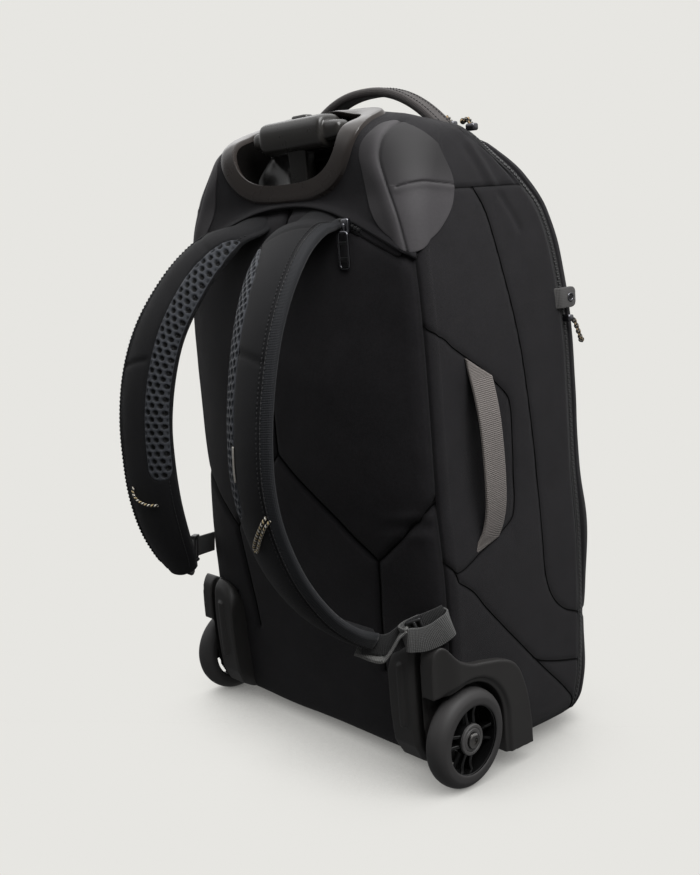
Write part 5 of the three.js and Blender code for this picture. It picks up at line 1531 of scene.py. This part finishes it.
def temp_prism(name, outline, x0, x1):
    o = np.asarray(outline, float)
    n_ = len(o)
    v = np.vstack([np.column_stack([np.full(n_, x0), o]), np.column_stack([np.full(n_, x1), o])]) * 0.001
    f = [list(range(n_)), list(range(2 * n_ - 1, n_ - 1, -1))] + [[(i + 1) % n_, i, n_ + i, n_ + (i + 1) % n_] for i in range(n_)]
    area = np.sum(o[:, 0] * np.roll(o[:, 1], -1) - np.roll(o[:, 0], -1) * o[:, 1])
    if area > 0:
        f = [q[::-1] for q in f]
    me = bpy.data.meshes.new(name)
    me.from_pydata(v.tolist(), [], f)
    ob = bpy.data.objects.new(name, me)
    bpy.context.scene.collection.objects.link(ob)
    return ob


def disc(r, y=AXLE_Y, z=AXLE_Z, n=96):
    return [(y + r * math.sin(k * 2 * math.pi / n), z + r * math.cos(k * 2 * math.pi / n)) for k in range(n)]


def rect(y0, y1, z0, z1):
    return [(y0, z0), (y1, z0), (y1, z1), (y0, z1)]


def eased(v, edges, rounds):
    """Taubin smoothing, which rounds edges without shrinking."""
    n_ = len(v)
    deg = np.zeros(n_)
    np.add.at(deg, edges[:, 0], 1)
    np.add.at(deg, edges[:, 1], 1)
    for k_ in range(rounds * 2):
        acc = np.zeros_like(v)
        for c_ in range(3):
            acc[:, c_] = np.bincount(edges[:, 0], v[edges[:, 1], c_], n_) + np.bincount(edges[:, 1], v[edges[:, 0], c_], n_)
        step_ = acc / np.maximum(deg, 1)[:, None] - v
        v = v + step_ * (0.5 if k_ % 2 == 0 else -0.515)
    return v


house_line = even(HOUSE[:15], 150)
house_line = np.vstack([house_line, np.array(HOUSE[15:])])
house_ops = [
    ("DIFFERENCE", disc(47), 141, 175),
    ("DIFFERENCE", rect(-125, AXLE_Y, -25, 93), 141, 175),
    ("DIFFERENCE", rect(AXLE_Y, AXLE_Y + 47, -25, AXLE_Z), 141, 175),
    ("DIFFERENCE", rect(-105, -84.5, 28, 150), 134.0, 140.4),
    ("DIFFERENCE", disc(51.5), 160.4, 175),
    ("DIFFERENCE", rect(AXLE_Y, AXLE_Y + 51.5, -25, AXLE_Z), 160.4, 175),
    ("UNION", rect(-97, -90, 62, 118), 118.2, 123.0),
    ("DIFFERENCE", rect(-99, -92.5, 65, 115), 119.6, 121.6),
]
base_ob = temp_prism("tmp_house", house_line, 106, 163)
temps = [base_ob]
for k_, (op, outline, x0, x1) in enumerate(house_ops):
    cutter = temp_prism("tmp_cut_%d" % k_, outline, x0, x1)
    temps.append(cutter)
    md = base_ob.modifiers.new("op%d" % k_, "BOOLEAN")
    md.operation = op
    md.solver = "EXACT"
    md.object = cutter
md = base_ob.modifiers.new("skin", "REMESH")
md.mode = "VOXEL"
md.voxel_size = 0.0012
md.adaptivity = 0.0
dg = bpy.context.evaluated_depsgraph_get()
ev = base_ob.evaluated_get(dg)
me = ev.to_mesh()
hv = np.empty(len(me.vertices) * 3, np.float32)
me.vertices.foreach_get("co", hv)
hv = hv.reshape(-1, 3).astype(float) * 1000
hf = np.array([list(p_.vertices) for p_ in me.polygons], int)
he = np.array([list(e_.vertices) for e_ in me.edges], int)
ev.to_mesh_clear()
for t_ in temps:
    mesh_ = t_.data
    bpy.data.objects.remove(t_)
    bpy.data.meshes.remove(mesh_)
hv = eased(hv, he, 7)
# the strip beside the wheel: a large round at its inner top corner, drawn in at the foot; the block's outer back corner is bevelled
hx_v, hy_v, hz_v = hv.T.copy()
strip = sstep(134, 130, hx_v) * sstep(-62, -78, hy_v)
hv[:, 1] -= 2.6 * strip
hv[:, 2] -= 24 * (1 - np.sqrt(1 - np.clip((127 - hx_v) / 21.5, 0, 0.999) ** 2)) * sstep(92, 136, hz_v) * strip
hv[:, 0] += 12 * np.clip((46 - hz_v) / 32, 0, 1) ** 2 * strip * np.clip(1 - (hx_v - 106) / 28, 0, 1)
hv[:, 0] -= 9 * sstep(-70, -94, hy_v) * np.clip((hx_v - 141) / 22, 0, 1)
soup = Soup()
soup.add(hv, hf, np.column_stack([hv[:, 1], hv[:, 2]]))
soup.build("wheel_housing_shell_right", "bag", M["housing"], "wheel_housing_right", "housing")
soup.mirrored().build("wheel_housing_shell_left", "bag", M["housing"], "wheel_housing_left", "housing")

# ---- wheels
HALF_TYRE = [(-9.0, 31.9), (-9.1, 29.5), (-9.6, 29.0), (-10.2, 29.4), (-10.4, 31.0), (-10.4, 34.4), (-10.2, 35.7), (-9.7, 36.7), (-8.8, 38.3), (-7.2, 40.0), (-5.0, 41.2), (-2.5, 41.8)]
TYRE = HALF_TYRE + [(0.0, 42.0)] + [(-x_, r_) for x_, r_ in HALF_TYRE[::-1]]
for side in ("right", "left"):
    m = 1 if side == "right" else -1
    centre = world((m * WHEEL_X, AXLE_Y, AXLE_Z))
    put = lambda p, centre=centre: centre + np.asarray(p, float) * 0.001
    flip = lambda so: so if m > 0 else so.mirrored()
    soup = Soup()
    lathe_x(soup, TYRE[::-1], 120, (0, 0, 0))
    flip(soup).build("tyre_tread_" + side, "wheel_" + side, M["tyre"], "tyre_" + side, "tyre", place=put)
    soup = Soup()
    lathe_x(soup, [(-8.7, 31.7), (-8.7, 29.2), (-8.2, 28.5), (5.2, 28.1), (8.2, 28.6), (8.7, 29.2), (8.7, 31.7)], 96, (0, 0, 0))
    lathe_x(soup, [(-9.4, 5.1), (-9.4, 12.8), (-8.8, 13.4), (6.0, 13.4), (6.6, 12.9), (6.6, 5.1)], 72, (0, 0, 0))
    # four spokes, each a pair of ribs with a sunk web between them
    for k_ in range(4):
        an = math.radians(90 * k_ - 4)
        d_ = np.array([0, -math.sin(an), math.cos(an)])
        w_ = np.array([0, math.cos(an), math.sin(an)])
        rr_ = np.array([11.5, 14, 17, 20, 23, 26, 28.3])
        for sg in (-1, 1):
            at_ = sg * np.array([4.0, 4.1, 4.3, 4.6, 5.0, 5.6, 6.4])
            top_ = np.array([5.6, 5.2, 4.4, 3.8, 3.8, 4.4, 5.2])
            rings = []
            for r_, o_, tp in zip(rr_, at_, top_):
                sec = rounded(1.6, (tp + 6) / 2, 1.1, 4)
                rings.append(d_ * r_ + w_ * (sec[:, :1] + o_) + np.array([1.0, 0, 0]) * (sec[:, 1:] + (tp - 6) / 2))
            add_loft(soup, np.array(rings))
        rings = [d_ * r_ + w_ * q_[:, :1] + np.array([1.0, 0, 0]) * (q_[:, 1:] - 4.5) for r_, q_ in ((r_, rounded(o_, 1.6, 0.6, 3)) for r_, o_ in zip(rr_, (4.0, 4.1, 4.3, 4.6, 5.0, 5.6, 6.4)))]
        add_loft(soup, np.array(rings))
    # the round cap over the bearing
    lathe_x(soup, [(5.0, 6.6), (8.0, 6.6), (8.4, 7.0), (8.4, 9.2), (8.0, 9.6), (8.0, 10.2), (8.4, 10.6), (8.4, 12.4), (7.8, 13.1), (5.0, 13.3)][::-1], 72, (0, 0, 0), mat=1)
    for so in (soup,):
        so.f = [f_ for f_ in so.f]
    flip(soup).build("hub_spoked_" + side, "wheel_" + side, [M["gloss"], M["hubcap"]], "hub_" + side, "gloss_black", sharp=40, place=put)
    soup = Soup()
    lathe_x(soup, [(-14.2, 0.02), (-14.2, 4.5), (8.4, 4.5), (8.4, 6.1), (9.0, 6.5), (10.2, 6.4), (11.0, 5.6), (11.4, 4.4), (11.4, 2.9), (9.8, 2.6), (9.6, 0.02)][::-1], 48, (0, 0, 0))
    flip(soup).build("axle_bolt_" + side, "bag", M["bolt"], "axle_" + side, "steel", sharp=35, place=put)
    soup = Soup()
    box_round(soup, (m * 95, 88, 5.0), ((1, 0, 0), (0, 1, 0), (0, 0, 1)), (26, 10, 5.0), 2.2)
    soup.build("front_foot_pad_" + side, "bag", M["housing"], "front_foot_" + side, "housing", place=lambda p: (np.asarray(p, float) + np.array([0, Y_SHIFT, 0])) * 0.001)

# ---- zip over the harness pocket, its garage and its ring pull
sz = np.linspace(0.56, 0.86, 60)
tz = arch_t(sz) - 2.6
zc = on_bag(sz, tz, 0.9 - 5.0 * sstep(0.74, 0.84, sz))
zn = bag_normal(sz, tz)
zt = unit(np.gradient(zc, axis=0))
soup = Soup()
add_zip(soup, zc, np.cross(zt, zn), zn, 9.0, lift=0.0, pitch=2.0)
# garage flap over the coil's end
sg_ = np.linspace(0.735, 1.14, 40)
tg_ = arch_t(sg_) - 2.6
gn = bag_normal(sg_, tg_)
gc = on_bag(sg_, tg_, 1.5)
gt = unit(np.gradient(gc, axis=0))
ga = np.cross(gt, gn)
k_ = np.linspace(0, 1, 40)
half_w = 4.8 * np.sqrt(np.clip(1 - (2 * k_ - 1) ** 6, 0.02, 1)) * lerp(1.0, 0.55, k_)
prof = np.array([(-1, -2.4), (-0.94, -0.9), (-0.5, -0.4), (0, -0.2), (0.5, -0.4), (0.94, -0.9), (1, -2.4)])
rings = gc[:, None] + ga[:, None] * (prof[None, :, :1] * half_w[:, None, None]) + gn[:, None] * prof[None, :, 1:]
add_loft(soup, rings, mat=2)
soup.build("harness_zip_coil", "bag", [M["zip_tape"], M["zip_teeth"], M["yoke"]], "harness_zip", "zip")

top = on_bag(0.68, arch_t(0.68) - 2, 3.6)
soup = Soup()
box_round(soup, top + np.array([0, -3.0, -1.0]), ((1, 0, 0), (0, 1, 0), (0, 0, 1)), (4.0, 2.4, 6.0), 1.5)
box_round(soup, top + np.array([0, -5.4, -3.0]), ((1, 0, 0), (0, 1, 0), (0, 0, 1)), (1.4, 1.6, 4.2), 0.9)
ring = []
for cx_, cz_, a0_ in ((2.6, -31.0, -90), (2.6, -8.0, 0), (-2.6, -8.0, 90), (-2.6, -31.0, 180)):
    for i in range(7):
        an = math.radians(a0_ + 15 * i)
        ring.append((cx_ + 2.4 * math.cos(an), -7.3, cz_ + 2.4 * math.sin(an)))
ring = top + even(ring, 90, closed=True)
sweep(soup, ring, np.array([0, 1.0, 0]), circle(1.0, 8), close=True)
for dz in (-14.0, -26.0):
    box_round(soup, top + np.array([0, -7.3, dz]), ((1, 0, 0), (0, 1, 0), (0, 0, 1)), (4.6, 0.8, 1.3), 0.6, 1)
soup.build("harness_pull_ring", "bag", [M["metal"], M["buckle"]], "harness_zip_pull", "steel")


def cord_pull(name, s, t, hang, node):
    p = on_bag(s, t, 2.2)
    sd = np.sign(p[0])
    hx_, hy_, hz_ = hang
    so = Soup()
    box_round(so, p + np.array([0, 0, 1.8]), ((1, 0, 0), (0, 1, 0), (0, 0, 1)), (4.4, 3.6, 3.0), 1.4, 1)
    ln = even([p + np.array([0, 0, 3]), p + np.array([sd * hx_ * 0.4, hy_ * 0.4, hz_ * 0.3 + 6]), p + np.array([sd * hx_, hy_, hz_])], 40)
    tn = unit(np.gradient(ln, axis=0))
    sidev = unit(np.cross(tn, (0.3, 0.2, 1.0)))
    # two twisted strands that meet in a knot
    ph = np.linspace(0, 5 * np.pi, 40)[:, None]
    other = np.cross(tn, sidev)
    for sgn in (1, -1):
        off = (sidev * np.cos(ph) + other * np.sin(ph)) * 1.15 * sgn
        sweep(so, ln + off, sidev, circle(1.05, 8), 0)
    rr_ = np.array([0.4, 1.7, 2.4, 2.7, 2.4, 1.7, 0.4])
    cc = ln[-1] + tn[-1] * np.linspace(-2.2, 3.4, 7)[:, None]
    add_loft(so, cc[:, None] + (sidev[-1] * np.cos(np.arange(12) * np.pi / 6)[:, None] + other[-1] * np.sin(np.arange(12) * np.pi / 6)[:, None])[None] * rr_[:, None, None], mat=0)
    so.build(name, "bag", [M["pull_cord"], M["metal"]], node, "cord")


cord_pull("zip_pull_cord_1", 3.47, 536, (-13, 5, 8), "main_zip_pull_1")
cord_pull("zip_pull_cord_2", 3.82, 541.5, (-16, 6, 8), "main_zip_pull_2")
cord_pull("zip_pull_cord_3", 3.17, 372, (5, 12, -18), "edge_zip_pull")

# ---- lash tab with its eyelet
tab_at = on_bag(3.05, 392, 2.4)
tab_dir = unit((0.06, 0.998, 0))
tab_n = unit((0.998, -0.06, 0))
soup = Soup()
dd = np.array([-7, -5, -3, -1, 1, 4, 8, 14, 16.5, 18.2, 19.0])
hw_ = np.array([9, 9, 9, 9, 9, 9, 9, 9, 8.6, 7.6, 5.6])
rings = []
for d_, h_ in zip(dd, hw_):
    sec = rounded(h_, 1.4, 1.1, 3)
    rings.append(tab_at + tab_dir * d_ + np.array([0, 0, 1.0]) * sec[:, :1] + tab_n * (sec[:, 1:] - 4.0 * sstep(0, -7, d_)))
add_loft(soup, np.array(rings))
eye = tab_at + tab_dir * 12
an = np.arange(40) * 2 * np.pi / 40
for sgn in (1, -1):
    circ = eye + tab_n * 1.4 * sgn + (tab_dir * np.cos(an)[:, None] + np.array([0, 0, 1.0]) * np.sin(an)[:, None]) * 3.2
    sweep(soup, circ, tab_n, circle(0.8, 8), 1, close=True)
    rings = [eye + tab_n * (1.25 + h_) * sgn + (tab_dir * np.cos(an)[:, None] + np.array([0, 0, 1.0]) * np.sin(an)[:, None]) * r_ for h_, r_ in ((0.0, 2.9), (0.35, 2.4), (0.3, 0.05))]
    add_loft(soup, np.array(rings), mat=2)
soup.build("lash_tab_web", "bag", [M["tab_web"], M["metal"], M["zip_tape"]], "lash_tab", "strap")

bpy.context.view_layer.update()
